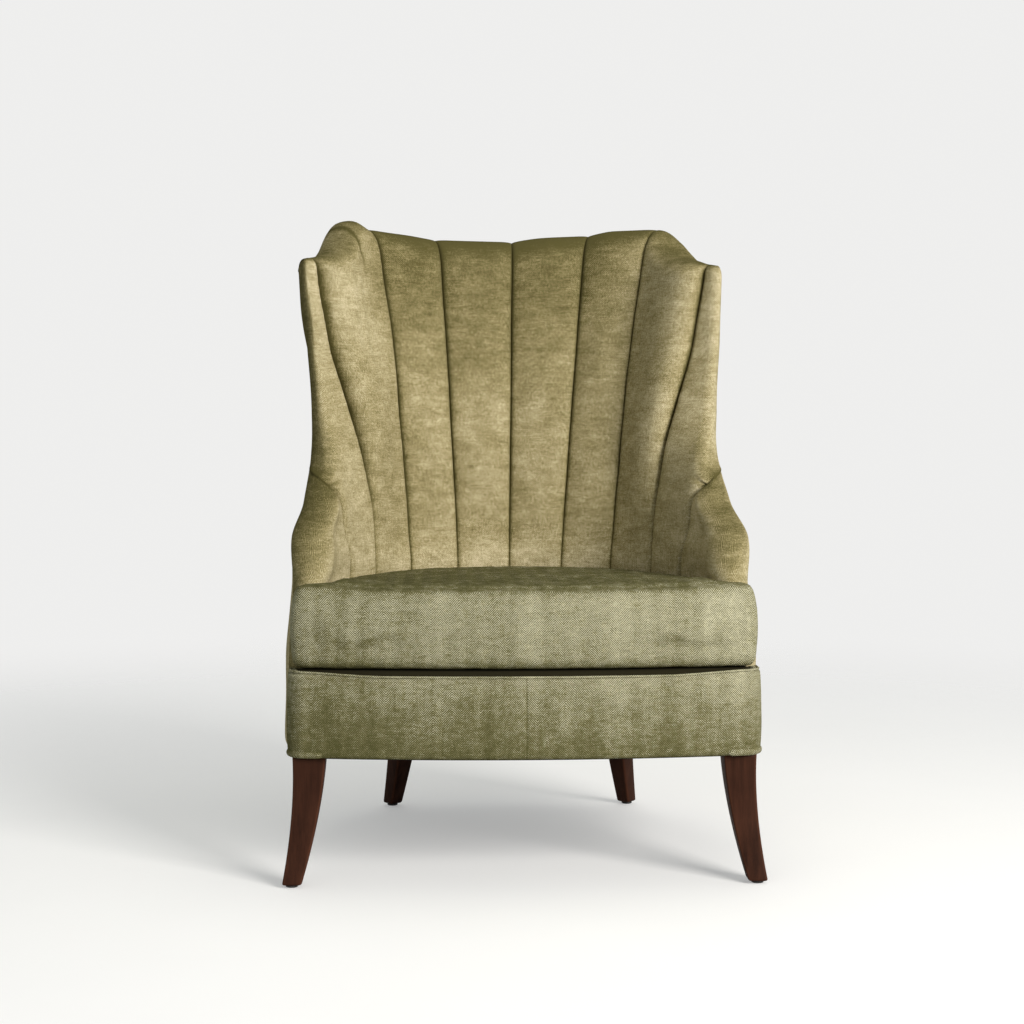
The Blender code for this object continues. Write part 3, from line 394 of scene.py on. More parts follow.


# Seat cloths are lighter towards the right: painted light of the key lamp.
SEAT_CLOTH = {"weave": 4.4, "painted_light": 0.30, "bands": 0.85, "tint": (0.94, 1.03, 1.12)}
PILE_CLOTHS = {
    "pile_cloth": {},
    "cushion_cloth": {"tone": -0.14, **SEAT_CLOTH},
    # The border's darker tone is partly the pile's own darker look and partly painted shade under the
    # cushion's overhang.
    "border_cloth": {"tone": -0.47, **SEAT_CLOTH},
}
# Other finishes: dark and light colour, roughness, scale of the grain, and what differs from the default
PLAIN_FINISHES = {
    "frame_wood": ((0.36, 0.22, 0.11), (0.62, 0.44, 0.26), 0.65, 30.0, {"stretch": (1.0, 1.0, 0.2)}),
    "foam": ((0.66, 0.58, 0.36), (0.84, 0.78, 0.58), 0.9, 220.0, {}),
    "burlap": ((0.26, 0.18, 0.09), (0.52, 0.40, 0.24), 0.95, 300.0, {}),
    "steel": ((0.30, 0.30, 0.31), (0.52, 0.52, 0.53), 0.34, 160.0, {"metallic": 1.0, "gloss": 0.5}),
    "dust_cloth": ((0.008, 0.008, 0.009), (0.035, 0.035, 0.037), 0.92, 420.0, {}),
    # The deck's cloth is near black: partly a dark lining, partly painted shade of the gap under the
    # cushion's front.
    "deck_cloth": ((0.009, 0.008, 0.0035), (0.028, 0.024, 0.011), 0.95, 380.0, {}),
    "glide_nylon": ((0.012, 0.011, 0.010), (0.045, 0.042, 0.040), 0.45, 140.0, {"gloss": 0.4}),
    "zip_tape": ((0.10, 0.085, 0.035), (0.22, 0.19, 0.09), 0.6, 500.0, {"stretch": (4.0, 4.0, 0.4)}),
}


def finish_named(kind):
    """The finish of that kind, made the first time it is asked for.

    Its name starts with chair_, so that it differs from the frame's own materials.
    """
    name = "chair_" + kind
    made = bpy.data.materials.get(name)
    if made:
        return made
    colours = bpy.context.scene.chair_colours
    if kind == "leg_wood":
        return leg_wood(name, colours)
    if kind in PILE_CLOTHS:
        return pile_cloth(name, colours, **PILE_CLOTHS[kind])
    *values, others = PLAIN_FINISHES[kind]
    return plain_finish(name, *values, **others)


# Meshes
def numbers(items, name, width=3, kind=np.float32):
    """One property of all points, faces or corners of a mesh, a row for each."""
    values = np.empty(width * len(items), kind)
    items.foreach_get(name, values)
    return values.reshape(-1, width)


def put_mesh(name, points, quads, weave, material):
    """A closed smooth mesh from points and faces of four, turned outwards, with its weave map in metres.

    The sum over faces of the signed volumes towards the origin tells whether the faces point inwards.
    """
    a, b, c, d = (points[quads[:, n]] for n in range(4))
    volume = (np.cross(b - a, c - a) * a).sum() + (np.cross(c - a, d - a) * a).sum()
    if volume < 0:
        quads, weave = quads[:, ::-1], weave[:, ::-1]
    mesh = bpy.data.meshes.new(name)
    mesh.vertices.add(len(points))
    mesh.vertices.foreach_set("co", np.ascontiguousarray(points, np.float32).ravel())
    mesh.loops.add(quads.size)
    mesh.loops.foreach_set("vertex_index", np.ascontiguousarray(quads, np.int32).ravel())
    mesh.polygons.add(len(quads))
    mesh.polygons.foreach_set("loop_start", np.arange(0, quads.size, 4, dtype=np.int32))
    mesh.polygons.foreach_set("use_smooth", np.ones(len(quads), bool))
    mesh.update(calc_edges=True)
    layer = mesh.uv_layers.new(name="weave")
    layer.data.foreach_set("uv", np.ascontiguousarray(weave, np.float32).ravel())
    mesh.materials.append(finish_named(material))
    obj = bpy.data.objects.new(name, mesh)
    bpy.context.scene.collection.objects.link(obj)
    # Painted shade, darkest where the piece faces up.
    mark_painted_shade(obj)
    return obj


def mark(obj, name, values):
    """Stores one number a point as an attribute of that name."""
    layer = obj.data.attributes.get(name) or obj.data.attributes.new(name, "FLOAT", "POINT")
    layer.data.foreach_set("value", np.ascontiguousarray(values, np.float32).ravel())


def mark_painted_shade(obj, aside=0.0, below=0.0):
    """Stores painted shade, one number a point: 0 where a point's normal is level, growing to 1 where it
    points straight up.

    aside is the share of painted shade added where the normal points left, away from the key lamp, and below
    the share added where an edge turns under, out of the light.
    """
    x, _, z = numbers(obj.data.vertices, "normal").T
    up = np.clip((z - 0.1) / 0.9, 0.0, 1.0)
    mark(obj, "nap", up**2 + aside * np.clip(-x, 0.0, 1.0) + below * np.clip(-z, 0.0, 1.0))


def run_of(points, axis):
    """Length along a grid of points, added up from 0."""
    step = np.linalg.norm(np.diff(points, axis=axis), axis=-1)
    start = np.zeros_like(np.take(step, [0], axis=axis))
    return np.concatenate([start, np.cumsum(step, axis=axis)], axis=axis)


def loft(name, rings, material, middle=0, turned=False):
    """Joins rings of points into a closed surface; each ring runs out on one half and back on the other.

    Faces join point j of a ring to point j + 1 and to the next ring. The caps are ladders between the two
    halves of the first and the last ring. The weave map is length round the ring from the middle point, and
    length from ring to ring; turned swaps the two.
    """
    rows, around = rings.shape[:2]
    i, j = np.meshgrid(np.arange(rows - 1), np.arange(around), indexing="ij")
    i, j = i.ravel(), j.ravel()
    corners = ((i, j), (i, j + 1), (i + 1, j + 1), (i + 1, j))
    quads = np.stack([a * around + b % around for a, b in corners], 1)
    closed = np.concatenate([rings, rings[:, :1]], axis=1)
    u = run_of(closed, 1)
    u = u - u[:, middle:middle + 1]
    v = np.broadcast_to(run_of(rings[:, middle], 0)[:, None], u.shape)
    grid = np.stack([v, u] if turned else [u, v], -1)
    weave = np.stack([grid[a, b] for a, b in corners], 1)
    near = np.arange(around // 2 - 1)
    far = around - 1 - near
    ladder = np.stack([near, near + 1, far - 1, far], 1)
    caps = np.concatenate([ladder[:, ::-1], ladder + (rows - 1) * around])
    points = rings.reshape(-1, 3)
    quads = np.concatenate([quads, caps])
    weave = np.concatenate([weave, points[caps][..., :2]])
    return put_mesh(name, points, quads, weave, material)


def at_heights(plan, z):
    """Rings of plan points with their heights: one value, a column of one for each ring, or one a point."""
    return np.concatenate([plan, np.broadcast_to(z, plan.shape[:2])[..., None]], -1)


def dress(obj, body, slot, *nodes):
    """Lets a piece ride on a body and stand for CAD nodes; slot is not used."""
    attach(obj, body)
    if nodes:
        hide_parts(*nodes)
    return obj


# The shell that back, wings and arms follow
def eased(xs, ys, x):
    """A smooth line through points that never overshoots them: cubic steps with harmonic slopes."""
    xs, ys = np.asarray(xs, float), np.asarray(ys, float)
    step = np.diff(xs)
    rise = np.diff(ys) / step
    slope = np.empty_like(ys)
    slope[0], slope[-1] = rise[0], rise[-1]
    same = rise[:-1] * rise[1:] > 0
    both = np.where(same, rise[:-1] + rise[1:], 1.0)
    slope[1:-1] = np.where(same, 2 * rise[:-1] * rise[1:] / both, 0.0)
    x = np.maximum(np.asarray(x, float), xs[0])
    i = np.clip(np.searchsorted(xs, x) - 1, 0, len(xs) - 2)
    u = (x - xs[i]) / step[i]
    inside = (
        (1 + 2 * u) * (1 - u) ** 2 * ys[i]
        + u * (1 - u) ** 2 * step[i] * slope[i]
        + u * u * (3 - 2 * u) * ys[i + 1]
        + u * u * (u - 1) * step[i] * slope[i + 1]
    )
    return np.where(u > 1, ys[-1] + slope[-1] * (x - xs[-1]), inside)


def ease(x):
    """Smooth step: 3 x^2 - 2 x^3 between 0 and 1."""
    x = np.clip(x, 0.0, 1.0)
    return x * x * (3 - 2 * x)


def bell(x, width):
    """Bell curve: 1 where x is 0, close to 0 at twice the width."""
    return np.exp(-((x / width) ** 2))


def rounded(distance, reach):
    """Quarter circle: 0 at a seam, 1 from reach onwards."""
    near = np.clip(distance / reach, 0.0, 1.0)
    return np.sqrt(1 - (1 - near) ** 2)


def seams_at(h, side):
    """Plan places of seams 0 to 3 and of the front edge at heights h, as on the right; side is 1 or -1."""

    def by_side(heights, rows):
        return np.where(side > 0, eased(heights, rows[1], h), eased(heights, rows[-1], h))

    x = [eased(SEAM_HEIGHTS, row, h) for row in SEAM_X] + [by_side(SEAM_HEIGHTS, OUTER_SEAM_X)]
    x.append(by_side(EDGE_HEIGHTS, EDGE_X) - eased(THICK_HEIGHTS, THICK[4], h))
    y = [eased(SEAM_HEIGHTS, row, h) for row in SEAM_Y] + [eased(EDGE_HEIGHTS, EDGE_Y, h)]
    return np.stack([np.array(x), np.array(y)], 1)


def face_plan(s, z, side):
    """Plan place and plan direction on the face: cubic arcs from seam to seam, level across the middle."""
    at = seams_at(z - LEG_H, side)
    chord = np.diff(at, axis=0)
    length = np.linalg.norm(chord, axis=1, keepdims=True)
    heading = np.empty_like(at)
    heading[0, 0], heading[0, 1] = 1.0, 0.0
    turned = chord[:-1] / length[:-1] ** 2 + chord[1:] / length[1:] ** 2
    heading[1:4] = turned / np.linalg.norm(turned, axis=1, keepdims=True)
    last = chord[3] / length[3]
    heading[4] = 2 * (last * heading[3]).sum(0) * last - heading[3]
    n = np.arange(len(s))
    i = np.clip(s.astype(int), 0, 3)
    u = (s - i)[:, None]
    long = length[i, 0, n][:, None]
    p, q = at[i, :, n], at[i + 1, :, n]
    a, b = long * heading[i, :, n], long * heading[i + 1, :, n]
    place = (1 + 2 * u) * (1 - u) ** 2 * p + u * (1 - u) ** 2 * a
    place = place + u * u * (3 - 2 * u) * q + u * u * (u - 1) * b
    going = 6 * u * (u - 1) * (p - q) + (1 - u) * (1 - 3 * u) * a + u * (3 * u - 2) * b
    return place, going / np.linalg.norm(going, axis=1, keepdims=True)


def shell(s, z, t, ahead=0.0, leaning=1.0):
    """Points of the shell, left where s is below 0: t outwards from the face, ahead past the front edge."""
    s, z, t, ahead = np.broadcast_arrays(*(np.asarray(v, float) for v in (s, z, t, ahead)))
    side = np.where(s < 0, -1.0, 1.0)
    place, going = face_plan(np.abs(s).ravel(), z.ravel(), side.ravel())
    place, going = place.reshape(*s.shape, 2), going.reshape(*s.shape, 2)
    x = side * (place[..., 0] - t * going[..., 1] + ahead * going[..., 0])
    y = place[..., 1] + t * going[..., 0] + ahead * going[..., 1]
    lean = eased(LEAN_HEIGHTS, LEAN_X, np.clip(z - LEG_H, LEAN_HEIGHTS[0], LEAN_HEIGHTS[-1]))
    return np.stack([x + leaning * lean * (1 - (s / 4) ** 2), y + PLAN_Y, z], -1)


def frame_room(s, z):
    """Extra thickness where the frame lies close under the covers: wing, crest ends and side rail."""
    wing = WING_ROOM * bell(s - WING_S, np.where(s < WING_S, 0.75, 0.55)) * ease((z - 0.70) / 0.25)
    crest = CREST_ROOM * bell(s - CREST_S, 0.50) * ease((z - 0.72) / 0.20)
    rail = RAIL_ROOM * bell(s - RAIL_S, 0.30) * (1 - ease((z - 0.30) / 0.15))
    return wing + crest + rail


def thickness(s, z):
    """Thickness of the shell, eased from seam to seam, and its room for the frame."""
    s, z = np.broadcast_arrays(np.abs(np.asarray(s, float)), np.asarray(z, float))
    at = np.stack([eased(THICK_HEIGHTS, row, (z - LEG_H).ravel()) for row in THICK])
    i = np.clip(s.ravel().astype(int), 0, 3)
    u = ease(s.ravel() - i)
    n = np.arange(s.size)
    return (at[i, n] + u * (at[i + 1, n] - at[i, n])).reshape(s.shape) + frame_room(s, z)


def top_line(s):
    """Height of the top edge over s."""
    right, left = (eased(TOP_S, row, np.abs(s)) for row in (TOP_RIGHT_H, TOP_LEFT_H))
    return LEG_H + np.where(s < 0, left, right)


def roll_height(s):
    """How far below the top edge the face starts to roll over: most on the back, less on the thin wings."""
    return bpy.context.scene.chair_sizes.roll * eased(ROLL_S, ROLL_SHARE, np.abs(s))


def arm_seam(z):
    """s of the seam between outer channel and arm pad."""
    return eased(ARM_SEAM_H, ARM_SEAM_S, z - LEG_H)


def crowded(count):
    """Numbers from 0 to 1 that crowd towards both ends."""
    x = np.linspace(0.0, 1.0, count)
    return x - 0.85 * np.sin(TAU * x) / TAU


def pucker(distance, along, phase):
    """Small gathers beside a seam: a wave along it that dies away within a centimetre or two."""
    wave = np.sin(TAU * along / 0.021 + phase) + 0.7 * np.sin(TAU * along / 0.0335 + 2.3 * phase)
    return 0.00035 * wave * np.exp(-distance / 0.010) * np.clip(distance / 0.003, 0.0, 1.0)


def lumps(a, b, phase):
    """Slow unevenness of stuffing: three crossed waves 0.1 to 0.3 m long."""
    wave = np.sin(TAU * (a / 0.19 + b / 0.31) + phase) + np.sin(TAU * (a / 0.13 - b / 0.23) + 1.7 * phase)
    return 0.0006 * (wave + np.sin(TAU * b / 0.117 + 2.9 * phase))


# Padding, front edge, covers and seams of the shell
SKIN = 0.009  # thickness of a channel's padding
REACH = 0.009  # a channel's edge rounds over this far
ARM_BULGE = 0.010  # the arm pad's fullness above the seat
NOSE = 0.014  # roundness of the front edge
WRAP = 0.026  # the edge's cloth reaches this far back on the outside
OUTER_ROUND = 0.040  # the outside rounds this far into the front edge
COVER = 0.003  # thickness of an outside cover
COVER_SEAM_S = 1.90  # seam between the outside back and a side
COVER_UNDER = 0.935  # the covers end this share of the roll below the top line
BACK_STAND = 0.002  # the edge's cloth stands out this far on the outside
NOTCH = 0.05  # share of the top roll that a seam draws down
CREASE = 0.0018  # painted shade lies dark about this far from a seam
FAR = 1.0  # stands for the distance of a hidden point to any seam
FAINT = 3.0  # a seam on a piece's right shades as one this many times as far
FACE_ROWS = 240
# Room for the frame under the covers, and the s where each is widest
WING_ROOM, CREST_ROOM, RAIL_ROOM = 0.0175, 0.0105, 0.0055
WING_S, CREST_S, RAIL_S = 2.85, 1.75, 2.68
# The tuck in the left ear: its line and its depth at heights, metres in a step of s there, and its half width
TUCK_LINE = (0.97, 1.045, 1.075, 1.11), (2.38, 2.36, 2.43, 2.56)
TUCK_DEEP = (0.95, 1.03, 1.075, 1.12), (0.0, 0.0018, 0.0060, 0.0050)
TUCK_SPAN, TUCK_HALF = 0.13, 0.005
# The roll over the top edge: its height at values of s, as a share of the size
ROLL_S = (0.0, 1.0, 2.0, 2.6, 3.0, 4.0)
ROLL_SHARE = (1.0, 1.0, 0.95, 0.70, 0.50, 0.42)
ROLL_TURNS = np.radians(np.concatenate([np.linspace(4.0, 80.0, 18), [84.0, 87.5]]))[:, None]
ROLL_POWER = 0.85  # below 1 the roll is squarer than an ellipse
# Steps round the front edge and back along the outside, and the arm pad's height at each of them
NOSE_STEPS = np.linspace(0.0, 1.0, 27)[1:-1]
WRAP_STEPS = np.array([0.0, 0.2, 0.4, 0.6, 0.8, 0.92, 0.985])
EDGE_POINTS = len(NOSE_STEPS) + len(WRAP_STEPS)
EDGE_TOPS = PAD_TOP + PAD_RISE * np.concatenate([NOSE_STEPS, np.ones(len(WRAP_STEPS))])


def growth(z):
    """0 behind the cushion, rising to 1 above it."""
    return ease((z - SEAT_Z + 0.03) / 0.26)


def puff(u, near, z, along, phase):
    """How far a channel stands out: round beside its seams, crowned in its middle, with gathers and lumps."""
    sizes = bpy.context.scene.chair_sizes
    grow = growth(z)
    edge = (0.40 + 0.60 * grow) * sizes.edge_puff
    crown = (0.10 + 0.90 * grow) * sizes.crown
    stand = edge * rounded(near, REACH) + crown * (1 - (2 * u - 1) ** 2) - sizes.seam_sink
    return stand + (0.3 + 0.7 * grow) * (pucker(near, along, phase) + lumps(near, along, phase))


def wing_bulge(u, z):
    """Stuffing behind the wing's front edge: it swells towards the outer seam and grows above the arm."""
    high = ease((z - ARM_TOP + 0.12) / 0.26)
    return 0.022 * high * ease(u / 0.85) * rounded(1 - u, 0.20)


def ear_tuck(s, z):
    """A short sewn tuck in the left ear: a groove along a bent line, deepest near the top."""
    line, deep = np.interp(z, *TUCK_LINE), np.interp(z, *TUCK_DEEP)
    return np.where(s < 0, deep * bell((-s - line) * TUCK_SPAN, TUCK_HALF), 0.0)


def rolled(s, end, front, back, height):
    """Rows of the roll over the top edge: half an ellipse from the face over to the outside.

    At turn b the face, at depth front, and the outside, at depth back, draw together with cos b while both
    rise by height times sin b from the height end.
    """
    middle = 0.5 * (back + front)
    draw = 0.5 * (back - front) * np.cos(ROLL_TURNS) ** ROLL_POWER
    up = end + height * np.sin(ROLL_TURNS)
    return np.concatenate([shell(s, up, middle - draw), shell(s, up, middle + draw)[:, ::-1]], 1)


def channel_rings(k, side):
    """Channel between seams k and k + 1: a fluted skin from the seat up, then the roll over the crest."""
    u = crowded(60)
    s = side * (k + u)
    roll = roll_height(s)
    end = top_line(s) - roll
    z = FACE_LOW + np.linspace(0.0, 1.0, FACE_ROWS)[:, None] * (end - FACE_LOW)
    seams = shell(s[[0, -1]], z[:, [0, -1]], 0.0)
    width = np.linalg.norm(seams[:, 1] - seams[:, 0], axis=-1)[:, None]
    near = np.minimum(u, 1 - u) * width
    stand = puff(u, near, z, z + 0.5 * k, 1.3 * k + side)
    dark = shaded_side(u * width, (1 - u) * width, side)
    if k == 2:
        tuck = ear_tuck(s, z)
        stand = stand + wing_bulge(u, z) - tuck
        # Painted shade also lies along the ear's tuck.
        dark = np.minimum(dark, 0.004 * (1 / np.maximum(tuck / 0.006, 0.01) - 1))
    face = np.concatenate([shell(s, z, -stand), shell(s, z, SKIN - stand)[:, ::-1]], 1)
    height = roll * (1 - NOTCH * (1 - rounded(near[-1], 0.020)))
    rings = np.concatenate([face, rolled(s, end, -stand[-1], thickness(s, end), height)])
    seam = np.concatenate([dark, np.broadcast_to(dark[-1], (len(ROLL_TURNS), len(u)))])
    return rings, np.concatenate([seam, seam[:, ::-1]], 1)


def edge_length(z, side):
    """Plan distance from seam 3 to the front edge."""
    at = seams_at(np.ravel(z) - LEG_H, side)
    return np.linalg.norm(at[4] - at[3], axis=0).reshape(np.shape(z))


def wrap_s(z, side, steps=1.0):
    """s on the outside at steps of the way that the edge's cloth reaches back."""
    return np.maximum(4.0 - steps * WRAP / edge_length(z, side), 3.0 + 0.1 * (1 - steps))


def inner_round(z):
    """How far in from its foremost line the front edge starts to round on the face: less above the arm."""
    return 0.018 + 0.036 * (1 - ease((z - ARM_TOP + 0.08) / 0.12))


def tip_share(z):
    """Where across the thickness the foremost line lies: in its middle on the arm, near the face above."""
    return 0.5 - 0.24 * ease((z - ARM_TOP + 0.08) / 0.12)


def edge_drop(left, reach, full):
    """How far a side draws in near the front edge, left away from it: a quarter ellipse across full."""
    share = np.clip((reach - NOSE - left) / reach, 0.0, 1.0)
    return full * (1 - np.sqrt(1 - share**2))


def nose_points(z, side, stand, back):
    """Round the front edge: a quarter ellipse from the face, another to the outside, then the cloth's end.

    z has a value for every point; stand (how far the face stands out) and back (how far the outside does)
    have one value a row.
    """
    stand, back = (np.asarray(v, float)[:, None] for v in (stand, back))
    z, past = z[:, : len(NOSE_STEPS)], z[:, len(NOSE_STEPS):]
    inner = inner_round(z)
    begin = np.arcsin((inner - NOSE) / inner)
    end = math.pi - math.asin((OUTER_ROUND - NOSE) / OUTER_ROUND)
    turn = begin + (end - begin) * NOSE_STEPS
    low, high = -stand, thickness(4.0, z) + back
    tip = low + tip_share(z) * (high - low)
    depth = tip - np.where(turn < 0.5 * math.pi, tip - low, high - tip) * np.cos(turn)
    reach = np.where(turn < 0.5 * math.pi, inner, OUTER_ROUND)
    edge = shell(side * 4.0, z, depth, NOSE - reach * (1 - np.sin(turn)))
    s = wrap_s(past, side, WRAP_STEPS)
    left = (4.0 - s) * edge_length(past, side)
    deep = (1 - tip_share(past)) * (thickness(4.0, past) + back + stand)
    drop = edge_drop(left, OUTER_ROUND, deep) + back * (1 - rounded((1 - WRAP_STEPS) * WRAP, WRAP))
    return np.concatenate([edge, shell(side * s, past, thickness(s, past) + back - drop)], 1)


def shaded_side(left, right, side):
    """Distance to the nearer seam; the one on a piece's right counts FAINT times, for it hardly shades it."""
    if side < 0:
        left, right = right, left
    return np.minimum(left, FAINT * right)


def seam_shade(seam):
    """A dark line at a seam and a soft shade beside it: two exponentials of the distance."""
    return 0.7 * np.exp(-seam / CREASE) + 0.3 * np.exp(-seam / (5 * CREASE))


def strip_stand(u, length, to_arm, z, phase):
    """How far the outer channel stands out: round at its two seams, full towards its edge, flat above."""
    sizes = bpy.context.scene.chair_sizes
    grow = growth(z)
    flat = 1 - 0.8 * ease((z - ARM_TOP - 0.08) / 0.16)
    full = 1.6 * sizes.edge_puff * (0.4 + 0.6 * grow) * rounded(length, 0.016)
    full = flat * (full + 0.6 * sizes.crown * grow * np.sin(0.5 * math.pi * u))
    stand = full * rounded(to_arm, 0.028) - sizes.seam_sink * (1 - ease(np.minimum(length, to_arm) / REACH))
    return stand + grow * (pucker(length, z, phase) + lumps(length, z, phase))


def outer_channel_rings(side):
    """The channel beside the front edge: below it ends at the arm seam, above it wraps the wing's edge."""
    u = crowded(48)
    phase = 4.0 + side
    z = np.linspace(FACE_LOW, PAD_TOP, 90)[:-1, None]
    last = arm_seam(z)
    s = 3.0 + u * (last - 3.0)
    length = run_of(shell(side * s, z, 0.0), 1)
    to_arm = length[:, -1:] - length
    near = shaded_side(length, to_arm, side)
    stand = strip_stand(u, length, to_arm, z, phase)
    wall = np.linspace(0.0, 1.0, EDGE_POINTS + 2)[1:-1]
    low_rings = np.concatenate([
        shell(side * s, z, -stand), shell(side * last, z, -stand[:, -1:] + wall * SKIN),
        shell(side * s, z, SKIN - stand)[:, ::-1],
    ], 1)
    hidden = np.full_like(near, FAR)
    low_seam = np.concatenate([near, np.zeros((len(z), EDGE_POINTS)), hidden], 1)

    s = 3.0 + u
    roll = roll_height(s)
    end = top_line(side * s) - roll
    v = np.linspace(0.0, 1.0, 130)[:, None]
    z = PAD_TOP + v * (end - PAD_TOP)
    length = run_of(shell(side * s, z, 0.0), 1)
    to_arm = np.hypot(z - PAD_TOP, np.clip(ARM_SEAM_S[-1] - s, 0.0, 1.0) * edge_length(z, side))
    stand = strip_stand(u, length, to_arm, z, phase)
    back = BACK_STAND * rounded(z[:, -1] - PAD_TOP, 0.03)
    full = thickness(4.0, z[:, -1:]) + stand[:, -1:] + back[:, None]
    edge = nose_points(EDGE_TOPS + v * (end[-1] - EDGE_TOPS), side, stand[:, -1], back)
    inner = edge_drop(length[:, -1:] - length, inner_round(z), tip_share(z[:, -1:]) * full)
    front = shell(side * s, z, inner - stand)
    behind = np.minimum(s, wrap_s(z[:, -1:], side))
    inside = shell(side * behind, z, np.clip(0.5 * thickness(s, z), 0.004, SKIN))[:, ::-1]
    high_rings = np.concatenate([front, edge, inside], 1)
    near = shaded_side(length, to_arm, side)
    above = v * (end[-1] - EDGE_TOPS) * (FAINT if side > 0 else 1.0)
    high_seam = np.concatenate([near, above, np.full_like(near, FAR)], 1)

    outside = shell(side * behind[-1], end, thickness(behind[-1], end) + back[-1])
    foot = np.concatenate([front[-1], edge[-1], outside[::-1]])
    nose_s = np.full(len(NOSE_STEPS), 4.0)
    foot_s = np.concatenate([s, nose_s, wrap_s(z[-1, -1], side, WRAP_STEPS), behind[-1, ::-1]])
    spine = shell(side * foot_s, foot[:, 2], 0.5 * thickness(foot_s, foot[:, 2]))
    rows = spine + (foot - spine) * np.cos(ROLL_TURNS)[..., None] ** ROLL_POWER
    notch = 1 - NOTCH * (1 - rounded(0.03 * (foot_s - 3.0), 0.01))
    rows[..., 2] = foot[:, 2] + np.sin(ROLL_TURNS) * roll_height(foot_s) * notch
    top_seam = np.broadcast_to(high_seam[-1], rows.shape[:2])
    return np.concatenate([low_rings, high_rings, rows]), np.concatenate([low_seam, high_seam, top_seam])


def arm_pad_rings(side):
    """Arm pad from the arm seam forward and round the front edge, sunk at its seam and full in its middle."""
    sizes = bpy.context.scene.chair_sizes
    u = crowded(52)
    v = np.linspace(0.0, 1.0, 130)[:, None]
    z = FACE_LOW + v * (PAD_TOP - FACE_LOW)
    first = arm_seam(z)
    s = first + u * (4.0 - first)
    length = run_of(shell(side * s, z, 0.0), 1)
    below = PAD_TOP - z
    free = ease((z - SEAT_Z) / 0.06)
    swelling = 0.55 * rounded(length, 0.014) + 0.45 * rounded(length, 0.06)
    full = (0.35 + 0.65 * free) * 2.0 * sizes.edge_puff * swelling
    stand = full * rounded(below, 0.028) - sizes.seam_sink * (1 - ease(length / REACH))
    stand = stand + free * (pucker(length, z, 2.0 + side) + lumps(length, z, 2.0 * side))
    bulge = ease((z - SEAT_Z + 0.02) / 0.05) * ease((u - 0.3) / 0.6) * rounded(below, 0.12)
    stand = stand + ARM_BULGE * bulge
    back = BACK_STAND * rounded(below[:, 0], 0.03)
    deep = thickness(4.0, z) + stand[:, -1:] + back[:, None]
    behind = np.minimum(s, wrap_s(z, side))
    tops = EDGE_TOPS - FACE_LOW
    near = np.minimum(length if side > 0 else FAINT * length, below)
    seam = np.concatenate([near, (1 - v) * tops, np.full_like(near, FAR)], 1)
    rings = np.concatenate([
        shell(side * s, z, edge_drop(length[:, -1:] - length, inner_round(z), tip_share(z) * deep) - stand),
        nose_points(FACE_LOW + v * tops, side, stand[:, -1], back),
        shell(side * behind, z, np.maximum(SKIN - stand, 0.006))[:, ::-1],
    ], 1)
    return rings, seam


def cover_rings(first, last, phase):
    """Outside cover: a thin skin on the shell's outside, drawn down a little at its edges.

    first and last give s at heights. The cover ends close under the roll over the top.
    """
    v = np.concatenate([
        np.linspace(0.0, 0.06, 14)[:-1], np.linspace(0.06, 0.97, 120)[:-1], np.linspace(0.97, 1.0, 8)])
    u = crowded(90)
    high = np.full(1, LEG_H + 0.8)
    top_s = first(high) + u * (last(high) - first(high))
    end = top_line(top_s) - COVER_UNDER * roll_height(top_s)
    z = LEG_H + v[:, None] * (end - LEG_H)
    s = first(z) + u * (last(z) - first(z))
    thick = thickness(s, z)
    length = run_of(shell(s, z, thick), 1)
    near = np.minimum(length, length[:, -1:] - length)
    near = np.minimum(near, np.minimum(z - LEG_H, end - z))
    stand = 0.0022 * rounded(near, 0.014) - 0.0005 + 0.6 * lumps(length, z, phase)
    return np.concatenate([shell(s, z, thick + stand), shell(s, z, thick - COVER)[:, ::-1]], 1)


def flip_left(rings):
    """The same rings on the left."""
    return rings * (-1.0, 1.0, 1.0)


# Front of the base
BORDER_DEPTH = 0.0165  # from the border's face to its inner side
FOOT_ROUND, TOP_ROUND = 0.006, 0.007  # roundness of the border's lower and upper edge
SEAM_DEEP, SEAM_HALF = 0.0012, 0.0022  # the border's middle seam: depth and half width
SEAM_BESIDE = (-0.0035, -0.0020, -0.0010, 0.0010, 0.0020, 0.0035)  # points that give the seam its shape
WELT_R = 0.0018
HEM_W, HEM_H = 0.0060, 0.0068  # half width and half height of the hem's roll


